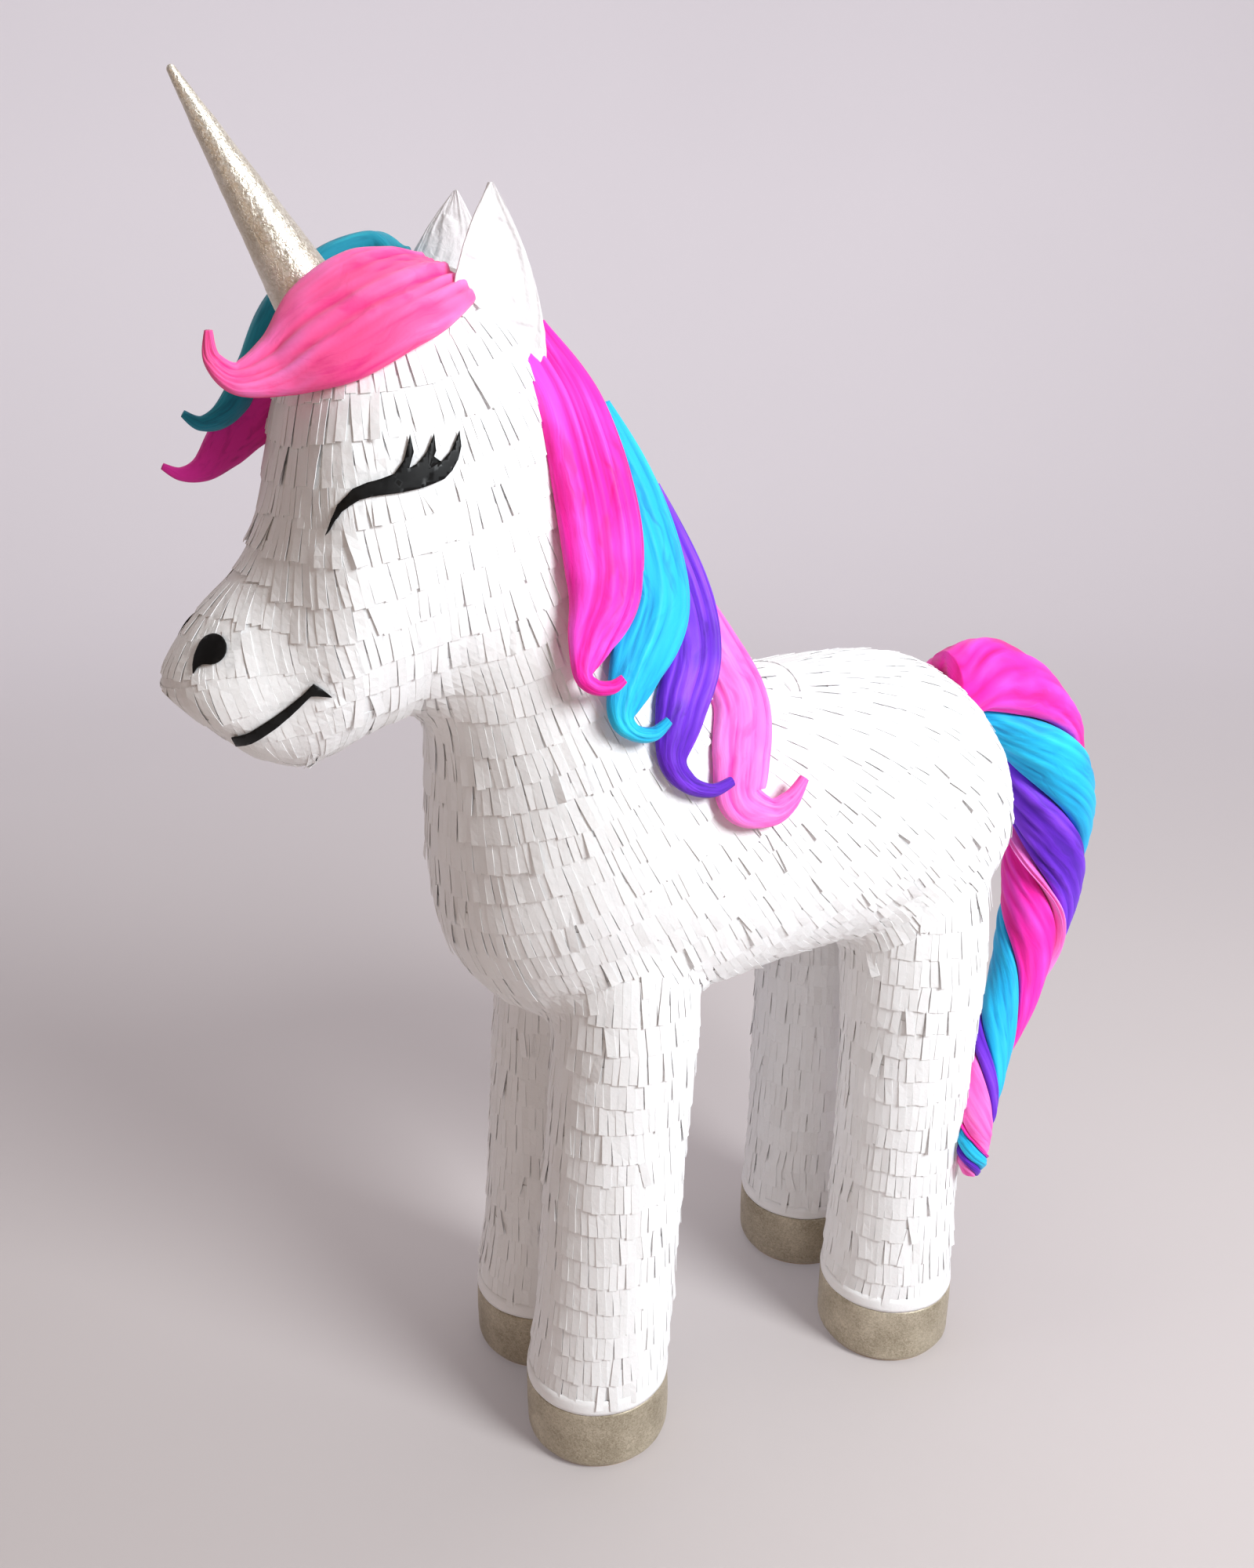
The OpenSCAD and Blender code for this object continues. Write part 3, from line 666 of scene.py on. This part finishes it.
def hang(root, length, on_leg, sway):
    """Points and outward normals down a strip, from its root, lying along the form."""
    p, rows, heading = root, [], None
    for _ in range(STEPS + 1):
        q, n, _, _ = skin.find_nearest(p)
        up = fall(q, on_leg)
        down = -(up - n * up.dot(n))
        if down.length < 0.05:
            down = Vector((0, 1, 0)) - n * n.y
        down.normalize()
        down = (down + n.cross(down) * sway).normalized()
        if heading is None:
            heading = down
        else:
            heading = (heading * 0.6 + down * 0.4)
            heading = (heading - n * heading.dot(n)).normalized()
        rows.append((q, n, heading))
        p = q + heading * (length / STEPS)
    return rows


door_low, door_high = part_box("door_fringe")
DOOR_MIDDLE = (door_low + door_high) / 2
DOOR_GAP = 1.2 * MM


def in_door(p, grow=0.0):
    """Whether a point lies over the filling door's outline, grown by a margin."""
    return (p.z > door_low.z - 0.01 and abs(p.x - DOOR_MIDDLE.x) < (door_high.x - door_low.x) / 2 + grow
            and abs(p.y - DOOR_MIDDLE.y) < (door_high.y - door_low.y) / 2 + grow)


def fitted(root, length, on_leg, sway, region):
    """A strip cut short where it would lie across the door's seam or hinge."""
    rows = hang(root, length, on_leg, sway)
    for k, (q, _, _) in enumerate(rows):
        if region == "door_fringe":
            blocked = q.x < door_low.x + 0.5 * MM
        else:
            blocked = in_door(q, DOOR_GAP)
        if blocked:
            length *= max(k - 0.5, 0) / STEPS
            return hang(root, length, on_leg, sway) if length > SHORTEST else None
    return rows


def strip_blank():
    """One flat strip as a thin closed sheet: x -1 to 1 across, y 0 to 1 along, z 0 on top and -1 below."""
    bm = bmesh.new()
    bmesh.ops.create_grid(bm, x_segments=1, y_segments=STEPS, size=1)
    for v in bm.verts:
        v.co.y = (v.co.y + 1) / 2
    bmesh.ops.solidify(bm, geom=bm.verts[:] + bm.edges[:] + bm.faces[:], thickness=1)
    low, high = min(v.co.z for v in bm.verts), max(v.co.z for v in bm.verts)
    for v in bm.verts:
        v.co.z = (v.co.z - high) / (high - low)
    bmesh.ops.recalc_face_normals(bm, faces=bm.faces)
    mesh = bpy.data.meshes.new("strip_blank")
    bm.to_mesh(mesh)
    bm.free()
    return mesh


BLANK = strip_blank()
BLANK_CO = np.array([v.co for v in BLANK.vertices])


def strip_cloud(strips):
    """Many copies of the blank, each bent along its own strip; gives the bmesh and each corner's tint."""
    bm = bmesh.new()
    for _ in strips:
        bm.from_mesh(BLANK)
    middle = np.array([s["middle"] for s in strips])
    across = np.array([s["across"] for s in strips])
    out = np.array([s["out"] for s in strips])
    step = np.rint(BLANK_CO[:, 1] * STEPS).astype(int)
    co = middle[:, step] + across[:, step] * BLANK_CO[:, 0][None, :, None] \
        + out[:, step] * (BLANK_CO[:, 2] * PAPER_T)[None, :, None]
    layer = bm.verts.layers.float.new("tint")
    tints = np.repeat([s["tint"] for s in strips], len(BLANK_CO))
    for v, point, tint in zip(bm.verts, co.reshape(-1, 3), tints):
        v.co = point
        v[layer] = tint
    return bm


def cut_strip(root, drop, lean, on_leg, region):
    """One strip's shape: glued flat at its root, lifting towards its cut end."""
    loose = chance.random() < 0.05
    sway = lean + chance.gauss(0, 0.11 if loose else 0.022)
    length = (STRIP_L + drop) * chance.uniform(0.965, 1.03)
    small = region == "head_fringe" and root.y < -0.35
    if small:
        length *= 0.8
    rows = fitted(root, length, on_leg, sway, region)
    if rows is None:
        return None
    lift = chance.uniform(1.1, 2.3) * MM + (chance.uniform(0.8, 3.0) * MM if loose else 0)
    if small:
        lift *= 0.5
    roll = chance.gauss(0, 0.16 if loose else 0.06)
    half = STRIP_W * chance.uniform(0.50, 0.60)
    over = chance.uniform(0.0, 0.5) * MM
    middle, across, out = [], [], []
    for k, (q, n, heading) in enumerate(rows):
        share = k / STEPS
        covered = near_face_shape(q)
        height = (0.4 * MM + over + lift * share ** 1.25) * (1 - covered) + 0.3 * MM * covered
        side = n.cross(heading).normalized()
        turn = roll * (0.3 + 0.7 * share) * (1 - covered)
        middle.append(q + n * height)
        across.append((side * math.cos(turn) + n * math.sin(turn)) * half)
        out.append(n)
    return {"middle": middle, "across": across, "out": out, "tint": chance.random() ** 2.2}


def flat_places(height):
    """Roots for the places that lie too level for rows: spread at random, thicker where it is flatter."""
    corners = CO[TRIS]
    normal = np.cross(corners[:, 1] - corners[:, 0], corners[:, 2] - corners[:, 0])
    area = np.linalg.norm(normal, axis=1) / 2
    normal /= np.maximum(2 * area, 1e-12)[:, None]
    middle = corners.mean(1)
    up = np.stack([np.zeros(len(TRIS)), -np.interp(middle[:, 1], FINE_Y, FINE_LEAN), np.ones(len(TRIS))], 1)
    slope = np.linalg.norm(up - normal * (up * normal).sum(1)[:, None], axis=1)
    wanted = area * np.clip(1.15 - slope / 0.75, 0, 1)
    count = int(wanted.sum() / (STRIP_W * ROW * 0.75))
    picked = chance.choices(range(len(TRIS)), weights=wanted.tolist(), k=count)
    return [(Vector(middle[i]), chance.uniform(-3, 3) * MM, chance.gauss(0, 0.05)) for i in picked]


def make_fringe():
    """Every strip of tissue: rows round the legs and the body, then the level places on the back."""
    strips = {name: [] for name in FRINGES}
    leg_height, body_height = row_height(True), row_height(False)
    first, belly = HOOF_TOP + STRIP_L + 7 * MM, 530 * MM
    for root, drop, lean in row_roots(leg_height, np.arange(first, belly, ROW)):
        region = fringe_at(root)
        if region.startswith("leg_"):
            if root.z < first + 0.5 * ROW:
                drop = 0.0
            strips[region].append(cut_strip(root, drop, lean, True, region))
    roots = list(row_roots(body_height, np.arange(body_height.min() + 0.012, body_height.max(), ROW)))
    for root, drop, lean in roots + flat_places(body_height):
        region = fringe_at(root)
        if not region.startswith("leg_"):
            strips[region].append(cut_strip(root, drop, lean, False, region))
    for name, made in strips.items():
        bm = strip_cloud([strip for strip in made if strip])
        body = DOOR if name == "door_fringe" else BODY
        add_piece(bm, name.replace("fringe", "strips"), "white_tissue", body, [name], smooth=False)


# Section of the collar over a hoof: depth under the fringe and height, in mm, and how wavy its edge is
COLLAR = ((3.0, 63, 0), (0.5, 63, 0), (0.2, 66, 0), (0.6, 72, 1.2), (1.3, 77, 1.2), (3.0, 77, 1.2))
COLLAR_SIDES = 96


def make_collar(leg):
    """The uncut band of tissue round a leg, just over its hoof."""
    spec, track = (HIND_LEG, HIND_TRACK) if leg.startswith("hind") else (FRONT_LEG, FRONT_TRACK)
    s = 1 if leg.endswith("left") else -1
    low_z, high_z = spec[1][0], spec[2][0]
    bm = bmesh.new()
    rings = []
    for depth, z, ragged in COLLAR:
        _, y, r, _ = smoothly(spec, (1 + (z - low_z) / (high_z - low_z)) / (len(spec) - 1))
        ring = []
        for k in range(COLLAR_SIDES):
            turn = 2 * math.pi * k / COLLAR_SIDES
            u, v = math.cos(turn), math.sin(turn)
            reach = r - depth + 0.4 * noise.noise(Vector((u * 4, v * 4, z * 0.09 + s)))
            high = z + ragged * noise.noise(Vector((u * 2, v * 2, 9.0 + s)))
            ring.append(bm.verts.new(drawn(s * track / 2 + reach * u, y + reach * v, high)))
        rings.append(ring)
    for low_ring, high_ring in zip(rings, rings[1:] + rings[:1]):
        for k in range(COLLAR_SIDES):
            bm.faces.new((low_ring[k], low_ring[k - 1], high_ring[k - 1], high_ring[k]))
    bmesh.ops.recalc_face_normals(bm, faces=bm.faces)
    layer = bm.verts.layers.float.new("tint")
    for v in bm.verts:
        v[layer] = 0.15
    add_piece(bm, "collar_" + leg, "white_tissue")


def make_backing():
    """The paper under the strips: the form as a thin skin, with the door's patch cut out of it."""
    bm = thinned(form, 0.7)
    half_x, half_y = (door_high.x - door_low.x) / 2, (door_high.y - door_low.y) / 2
    for along in (Vector((1, 0, 0)), Vector((0, 1, 0))):
        reach = (half_x if along.x else half_y) + DOOR_GAP / 2
        for s in (-1, 1):
            bmesh.ops.bisect_plane(bm, geom=bm.verts[:] + bm.edges[:] + bm.faces[:],
                                   plane_co=DOOR_MIDDLE + along * reach * s, plane_no=along)
    patch = [f for f in bm.faces if in_door(f.calc_center_median(), DOOR_GAP / 2) and f.normal.z > 0.3]
    lid = bm.copy()
    lid.faces.ensure_lookup_table()
    kept = {f.index for f in patch}
    bmesh.ops.delete(lid, geom=[f for f in lid.faces if f.index not in kept], context="FACES")
    bmesh.ops.delete(bm, geom=patch, context="FACES")
    shrink = 1 - DOOR_GAP / (2 * half_x)
    for v in lid.verts:
        v.co.x = DOOR_MIDDLE.x + (v.co.x - DOOR_MIDDLE.x) * shrink
        v.co.y = DOOR_MIDDLE.y + (v.co.y - DOOR_MIDDLE.y) * shrink
    for part, name, body in ((bm, "fringe_backing", BODY), (lid, "door_backing", DOOR)):
        bmesh.ops.solidify(part, geom=part.faces[:], thickness=0.8 * MM)
        # Painted shade: the backing gets a greyer tint than most strips, so the gaps between strips look
        # darker
        layer = part.verts.layers.float.new("tint")
        for v in part.verts:
            v[layer] = 0.4
        add_piece(part, name, "white_tissue", body)


# ---- crepe locks ----

# Points down the middle of each lock, root first: x, y, z, half width and half thickness, in mm
MAGENTA_LOCK = [(26, -190, 974, 20, 9), (58, -170, 926, 28, 11), (80, -158, 860, 34, 12),
                (98, -160, 800, 31, 12), (110, -178, 762, 18, 8), (118, -187, 741, 8, 6),
                (124, -181, 732, 6, 5), (128, -169, 731, 5, 4.5), (130, -160, 737, 3.5, 3.5)]
TURQUOISE_LOCK = [(40, -146, 918, 20, 9), (66, -122, 852, 28, 11), (92, -114, 784, 28, 11),
                  (112, -142, 738, 22, 9), (122, -158, 709, 12, 7), (127, -152, 695, 7, 5.5),
                  (131, -137, 692, 5.5, 5), (132, -124, 701, 3.5, 3.5)]
PURPLE_LOCK = [(40, -104, 856, 20, 9), (68, -84, 790, 27, 11), (94, -84, 742, 26, 11),
               (116, -106, 702, 22, 9), (127, -118, 669, 13, 7), (132, -107, 649, 8, 5.5),
               (135, -88, 641, 5.5, 5), (135, -70, 646, 4, 4)]
PINK_LOCK = [(36, -72, 788, 18, 9), (62, -50, 736, 25, 11), (92, -38, 692, 27, 11), (118, -52, 656, 27, 9),
             (130, -58, 628, 22, 8), (136, -36, 615, 12, 6.5), (136, -17, 622, 8, 5.5), (134, -3, 638, 4, 4)]
CORAL_LOCK = [(40, -252, 1008, 28, 8), (55, -275, 1004, 36, 11), (62, -304, 994, 43, 12),
              (56, -344, 972, 40, 12), (48, -372, 954, 24, 9), (46, -398, 946, 12, 6), (46, -413, 958, 6, 4),
              (48, -414, 976, 2.5, 3)]
TEAL_LOCK = [(-38, -250, 1018, 20, 8), (-56, -268, 1022, 28, 11), (-62, -306, 1008, 31, 11),
             (-58, -342, 982, 25, 11), (-46, -370, 946, 17, 9), (-34, -394, 920, 11, 7),
             (-30, -412, 913, 6, 4), (-30, -424, 920, 2.5, 3)]
DEEP_LOCK = [(-44, -350, 932, 22, 7), (-54, -374, 914, 25, 8), (-58, -394, 893, 17, 8),
             (-58, -410, 879, 10, 6), (-58, -426, 876, 5, 4), (-58, -438, 882, 2.5, 3)]


def puffs(u, t, seed, pleats):
    """Rounded puffs between sharp folds across a lock, from 0 in a fold to 1 on a crown; the crepe colour
    follows it, with painted shade in the folds and painted highlight on the crowns.
    """
    u += 0.22 * noise.noise(Vector((t * 2.4, u * 0.9, seed + 11)))
    broad = abs(noise.noise(Vector((u * pleats * 0.42, t * 1.3, seed)))) * 2.4
    fine = abs(noise.noise(Vector((u * pleats * 1.0, t * 3.2, seed + 7)))) * 2.4
    share = min(1.0, max(0.0, 0.5 + 1.6 * noise.noise(Vector((u * 1.7, t * 4.5, seed + 19)))))
    crumple = 0.12 * noise.noise(Vector((u * 6, t * 20, seed + 23)))
    detail = share * min(fine, 1.0) + (1 - share) * 0.75
    return min(1.0, max(0.0, broad * 0.62 + 0.38 * detail + crumple))


def lock_shape(spec, facing, seed, pleats):
    """A flat lock along its middle line, its pleated side turned to where it faces."""
    rows = np.array(spec, float)
    facing = Vector(facing)

    def place(a, t):
        x, y, z, half, thick = smoothly(rows, t)
        before, after = smoothly(rows, t - 0.01), smoothly(rows, t + 0.01)
        along = Vector((after - before)[:3]).normalized()
        across = along.cross(facing).normalized()
        up = across.cross(along)
        turn = 2 * math.pi * a
        u, v = math.cos(turn), math.sin(turn)
        crown = puffs(u * (0.4 + 0.6 * half / 30), t, seed, pleats)
        edge = 1 + 0.06 * noise.noise(Vector((u, t * 7, seed + 3)))
        relief = (crown - 0.5) * min(4.6, 0.15 * half + 0.4) * max(v, 0.0) ** 0.6 if v > 0 else 0.0
        flat = math.copysign(abs(v) ** 0.8, v)
        offset = across * half * u * edge + up * (thick * flat + relief)
        return drawn(x, y, z) + offset * MM, crown if v > 0 else 0.3
    return place


def make_lock(name, spec, facing, slot, seed, pleats=7.0):
    bm = lofted(lock_shape(spec, facing, seed, pleats), 96, 120, "crown")
    add_piece(bm, name + "_lock", slot, stands_for=[name])


def make_mane():
    """Four locks down the left of the neck, and the three of the forelock round the horn."""
    left, far = (0.9, 0.15, 0.4), (-0.9, -0.35, 0.15)
    brow, brow_right = (0.72, -0.3, 0.62), (-0.72, -0.3, 0.62)
    make_lock("mane_magenta", MAGENTA_LOCK, left, "crepe_magenta", 1.3)
    make_lock("mane_turquoise", TURQUOISE_LOCK, left, "crepe_turquoise", 4.1)
    make_lock("mane_purple", PURPLE_LOCK, left, "crepe_purple", 9.7)
    make_lock("mane_pink", PINK_LOCK, left, "crepe_pink", 14.2)
    make_lock("forelock_pink", CORAL_LOCK, brow, "crepe_coral", 21.5, 9.0)
    make_lock("forelock_teal", TEAL_LOCK, brow_right, "crepe_teal", 25.8)
    make_lock("forelock_magenta", DEEP_LOCK, far, "crepe_deep_magenta", 31.4)


# ---- tail ----

# Down the middle of the tail: x, y, z and radius, in mm
TAIL = np.array([
    (0, 240, 654, 32), (2, 282, 652, 42), (8, 334, 614, 48), (14, 364, 556, 49), (20, 374, 486, 45),
    (28, 362, 412, 40), (50, 324, 344, 29), (84, 264, 296, 25), (128, 218, 262, 18), (139, 206, 240, 17),
    (143, 203, 222, 15), (145, 201, 208, 8)], float)
# Where one strand ends and the next begins, in degrees round the tail, at each point of it
TAIL_EDGES = np.array([(-110, -140, -170, -200), (-55, -115, -160, -190), (0, -105, -155, -185),
                       (64, -53, -140, -170), (145, 27, -87, -110), (227, 117, 12, -5), (342, 217, 125, 95),
                       (465, 345, 296, 165), (580, 484, 424, 240), (690, 600, 545, 345), (795, 705, 650, 460),
                       (900, 800, 740, 560)], float)
TAIL_COLOURS = ("magenta", "turquoise", "purple", "pink")


def tail_strand(which, seed):
    """One of the strands that are twisted round each other, between its own two edges."""
    def place(a, t):
        x, y, z, r = smoothly(TAIL, t)
        before, after = smoothly(TAIL, t - 0.01), smoothly(TAIL, t + 0.01)
        along = Vector((after - before)[:3]).normalized()
        across = along.cross(Vector((0.1, 1, 0.3))).normalized()
        up = across.cross(along)
        edges = smoothly(TAIL_EDGES, t)
        first, second = edges[which], edges[which - 1] + (360 if which == 0 else 0)
        lobe = 2 * math.pi * a
        u, v = math.sin(lobe), math.cos(lobe)
        turn = math.radians((first + second) / 2 + max(second - first, 6) / 2 * 0.99 * u)
        wide = r * math.radians(second - first) / 2
        crown = puffs(u * (0.3 + wide / 55), t * 2, seed, 6.0)
        relief = (crown - 0.6) * min(4.2, 0.1 * r) * v ** 0.5 if v > 0 else 0.0
        reach = r * (0.3 + 0.68 * v ** 0.25) + relief if v > 0 else r * (0.3 + 0.05 * v)
        offset = (across * math.cos(turn) + up * math.sin(turn)) * reach
        # Painted shade: on the strand's inner side, where it tucks under the others, the crown value falls to
        # 0, so the colour goes to its fold shade
        return drawn(x, y, z) + offset * MM, crown if v > 0.25 else max(0.0, crown * v * 4)
    return place


def make_tail():
    for which, colour in enumerate(TAIL_COLOURS):
        bm = lofted(tail_strand(which, 40.0 + 6 * which), 80, 240, "crown")
        add_piece(bm, "tail_%s_strand" % colour, "crepe_" + colour, stands_for=["tail_" + colour])


# ---- horn, ears, hooves ----

HORN_BASE = drawn(0, -326, 976)
HORN_LEAN = math.atan2(73, 130)
HORN_LENGTH, HORN_R, HORN_TIP_R = 180 * MM, 28 * MM, 3.2 * MM


def spun(profile, steps):
    """A shape spun from an outline of (radius, height) pairs, whose ends meet or lie on the axis."""
    bm = bmesh.new()
    points = [bm.verts.new((r, 0, z)) for r, z in profile]
    edges = [bm.edges.new(pair) for pair in zip(points, points[1:])]
    bmesh.ops.spin(bm, geom=points + edges, cent=(0, 0, 0), axis=(0, 0, 1), angle=2 * math.pi, steps=steps,
                   use_merge=True)
    bmesh.ops.remove_doubles(bm, verts=bm.verts, dist=1e-6)
    bmesh.ops.recalc_face_normals(bm, faces=bm.faces)
    return bm


def make_horn():
    """A cone of crackled foil over the card one, its foot sunk into the fringe and its tip rounded over."""
    rows, foot, top = 70, -12 * MM, HORN_LENGTH - HORN_TIP_R
    heights = [foot + (top - foot) * k / rows for k in range(rows + 1)]
    side = [(HORN_R + (HORN_TIP_R - HORN_R) * z / top, z) for z in heights]
    tip = [(HORN_TIP_R * math.cos(a), HORN_LENGTH - HORN_TIP_R + HORN_TIP_R * math.sin(a))
           for a in (0.4, 0.8, 1.2)] + [(0, HORN_LENGTH)]
    bm = spun([(0, foot)] + side + tip, 84)
    for v in bm.verts:
        r = math.hypot(v.co.x, v.co.y)
        if r < 1e-5:
            continue
        crackle = noise.noise(v.co * 190) * 0.5 + noise.noise(v.co * 60 + Vector((3, 1, 5))) * 0.8
        swell = 1 + crackle * 0.45 * MM / max(r, 4 * MM)
        v.co.x *= swell
        v.co.y *= swell
    bmesh.ops.rotate(bm, verts=bm.verts, matrix=Matrix.Rotation(HORN_LEAN, 3, "X"))
    bmesh.ops.translate(bm, verts=bm.verts, vec=HORN_BASE)
    add_piece(bm, "horn_foil", "metallic_paper", stands_for=["horn_wrap"])


def ear_point(s):
    """A cupped leaf, opening outwards and a little backwards, its inside creased lengthwise."""
    across = Vector((-0.3 * s, 0.95, 0)).normalized()
    out = Vector((0.95 * s, 0.3, 0)).normalized()

    def place(a, t):
        lobe = 2 * math.pi * a
        u, v = math.cos(lobe), math.sin(lobe)
        bend = math.radians(80 * u)
        width, cup = 42 * (1 - t ** 2.2) + 1.2, 13 * (1 - t) + 2
        crease = min(1.0, abs(noise.noise(Vector((u * 3.4 + 4 * s, t * 2.6, 2.0)))) * 3.4)
        crumple = noise.noise(Vector((u * 9, t * 15, 5.0 + s)))
        patch = noise.cell(Vector((u * 2.1 + 0.5 * math.sin(t * 7) + 20, t * 3.6 + 0.3 * u + 20, 3.0 + s)))
        edge = 1 - u ** 4
        thick = (1.4 + 1.2 * (1 - t)) * math.copysign(abs(v) ** 0.7, v)
        ripple = ((crease * 2.0 - 1.0) * (1 - 0.6 * t) + crumple * 0.5 + patch * 0.9) * edge
        depth = cup * math.cos(bend) - thick - ripple
        rough = 1 + 0.02 * noise.noise(Vector((t * 13, u, 7.0 + s)))
        middle = drawn(s * (70 - 33 * t), -224 + 9 * t, 950 + 120 * t)
        # Painted shade: the tissue darker along the creases; the patches vary its tone at random, and the
        # back has one tone
        shade = 0.5 - 0.5 * crease + 0.35 * patch if v > 0 else 0.3
        point = middle + (across * width * rough * math.sin(bend) - out * depth) * MM
        return point, min(1.0, max(0.0, shade))
    return place


def make_ear(side, s):
    bm = lofted(ear_point(s), 120, 110, "tint")
    add_piece(bm, "ear_%s_wrap" % side, "white_tissue_wrap", stands_for=["ear_" + side])


def make_hoof(leg):
    """A can of card under glitter, round at its foot, pulled in a little at its top edge."""
    hind = leg.startswith("hind")
    s = 1 if leg.endswith("left") else -1
    low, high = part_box("hoof_" + leg)
    middle = (low + high) / 2
    edge, r, bore = 10 * MM, (high.x - low.x) / 2, 61 * MM
    arc = [(r - edge + edge * math.cos(math.radians(a)), edge + edge * math.sin(math.radians(a)))
           for a in range(-60, 1, 10)]
    rise = HOOF_TOP - edge - 1.5 * MM
    wall = [(r + 0.3 * MM * math.sin(math.pi * k / 8), edge + rise * k / 8) for k in range(1, 9)]
    top = [(r - 0.5 * MM, HOOF_TOP - 0.4 * MM), (r - 1.6 * MM, HOOF_TOP), (bore, HOOF_TOP)]
    bm = spun([(bore, arc[0][1])] + arc + wall + top + [(bore, arc[0][1])], 96)
    for v in bm.verts:
        dent = noise.noise(v.co * 28 + Vector((s * 4, hind * 5, 0))) * 0.7 + noise.noise(v.co * 110) * 0.18
        if math.hypot(v.co.x, v.co.y) > bore + 2 * MM:
            v.co += Vector((v.co.x, v.co.y, 0)).normalized() * (dent - 0.4) * MM
    bmesh.ops.translate(bm, verts=bm.verts, vec=(middle.x, middle.y, 0))
    add_piece(bm, "hoof_%s_glitter" % leg, "hoof_glitter", stands_for=["hoof_" + leg])


# ---- face ----

CELL = 3  # the shapes are cut into cells of this many mm, so that they bend with the fringe
SHAPE_HEIGHT = 3.0 * MM  # of the shapes' upper side over the form
SHAPE_T = 1.0 * MM


def face_shape(bm, outline, s, centre=None):
    """A thin black paper shape on the fringe; its outline is drawn in side view, or round a centre."""
    part = bmesh.new()
    inwards, middle = Vector((-s, 0, 0)), Vector((0.3 * s, 0, 0))
    right, up = Vector((0, 1, 0)), Vector((0, 0, 1))
    if centre:
        foot, normal, _, _ = skin.ray_cast(Vector((0.3 * s, centre[0] * MM, centre[1] * MM)), inwards)
        inwards = -normal
        middle = foot + normal * 0.03
        right = Vector((s * abs(normal.y), abs(normal.x), 0))
        right = (right - normal * right.dot(normal)).normalized()
        up = (up - normal * up.dot(normal)).normalized()
    loop = [part.verts.new((0, a * MM, b * MM)) for a, b in outline]
    part.faces.new(loop)
    bmesh.ops.triangulate(part, faces=part.faces)
    for i, direction in enumerate((Vector((0, 1, 0)), Vector((0, 0, 1)))):
        values = [point[i] for point in outline]
        level = min(values) + CELL
        while level < max(values):
            bmesh.ops.bisect_plane(part, geom=part.verts[:] + part.edges[:] + part.faces[:],
                                   plane_co=direction * level * MM, plane_no=direction)
            level += CELL
    bmesh.ops.triangulate(part, faces=part.faces)
    for v in part.verts:
        hit, normal, _, _ = skin.ray_cast(middle + right * v.co.y + up * v.co.z, inwards)
        v.co = hit + normal * SHAPE_HEIGHT
    for f in part.faces:
        f.normal_update()
        if f.normal.dot(inwards) > 0:
            f.normal_flip()
    bmesh.ops.solidify(part, geom=part.faces[:], thickness=SHAPE_T)
    mesh = bpy.data.meshes.new("shape")
    part.to_mesh(mesh)
    part.free()
    bm.from_mesh(mesh)
    bpy.data.meshes.remove(mesh)


def make_face():
    for side, s in (("left", 1), ("right", -1)):
        for name, outline, centre in (("eye", EYE, None), ("nostril", NOSTRIL, NOSTRIL_AT)):
            bm = bmesh.new()
            face_shape(bm, outline, s, centre)
            node_name = "%s_%s" % (name, side)
            add_piece(bm, node_name + "_shape", "black_paper", stands_for=[node_name])
    bm = bmesh.new()
    for s in (1, -1):
        face_shape(bm, MOUTH, s)
    add_piece(bm, "mouth_shape", "black_paper", stands_for=["mouth"])


# ---- what stays as the CAD made it ----

def finish_cad_nodes():
    slots = {part["node"]: part["material_slot"] for part in frame["record"]["subparts"]}
    for name, piece in frame["nodes"].items():
        piece.data.materials.clear()
        piece.data.materials.append(FINISH[slots[name]])


# ---- floor ----

def make_floor():
    """A round studio floor that curves up into its wall."""
    flat, curve, height = 3.2, 1.4, 6.0
    turns = [math.radians(a) for a in range(0, 91, 9)]
    arc = [(flat + curve * math.sin(a), curve - curve * math.cos(a)) for a in turns]
    bm = spun([(0.0, 0.0), (1.5, 0.0)] + arc + [(flat + curve, height)], 96)
    for f in bm.faces:
        f.normal_flip()
    mesh = bpy.data.meshes.new("floor")
    bm.to_mesh(mesh)
    bm.free()
    mesh.polygons.foreach_set("use_smooth", [True] * len(mesh.polygons))
    mesh.materials.append(floor_finish())
    floor = bpy.data.objects.new("floor", mesh)
    scene.collection.objects.link(floor)


set_camera()
set_light()
make_floor()
finish_cad_nodes()
make_fringe()
make_backing()
make_mane()
make_tail()
make_horn()
for ear_side, ear_sign in (("left", 1), ("right", -1)):
    make_ear(ear_side, ear_sign)
for hoof_leg in LEGS:
    make_hoof(hoof_leg)
    make_collar(hoof_leg)
make_face()
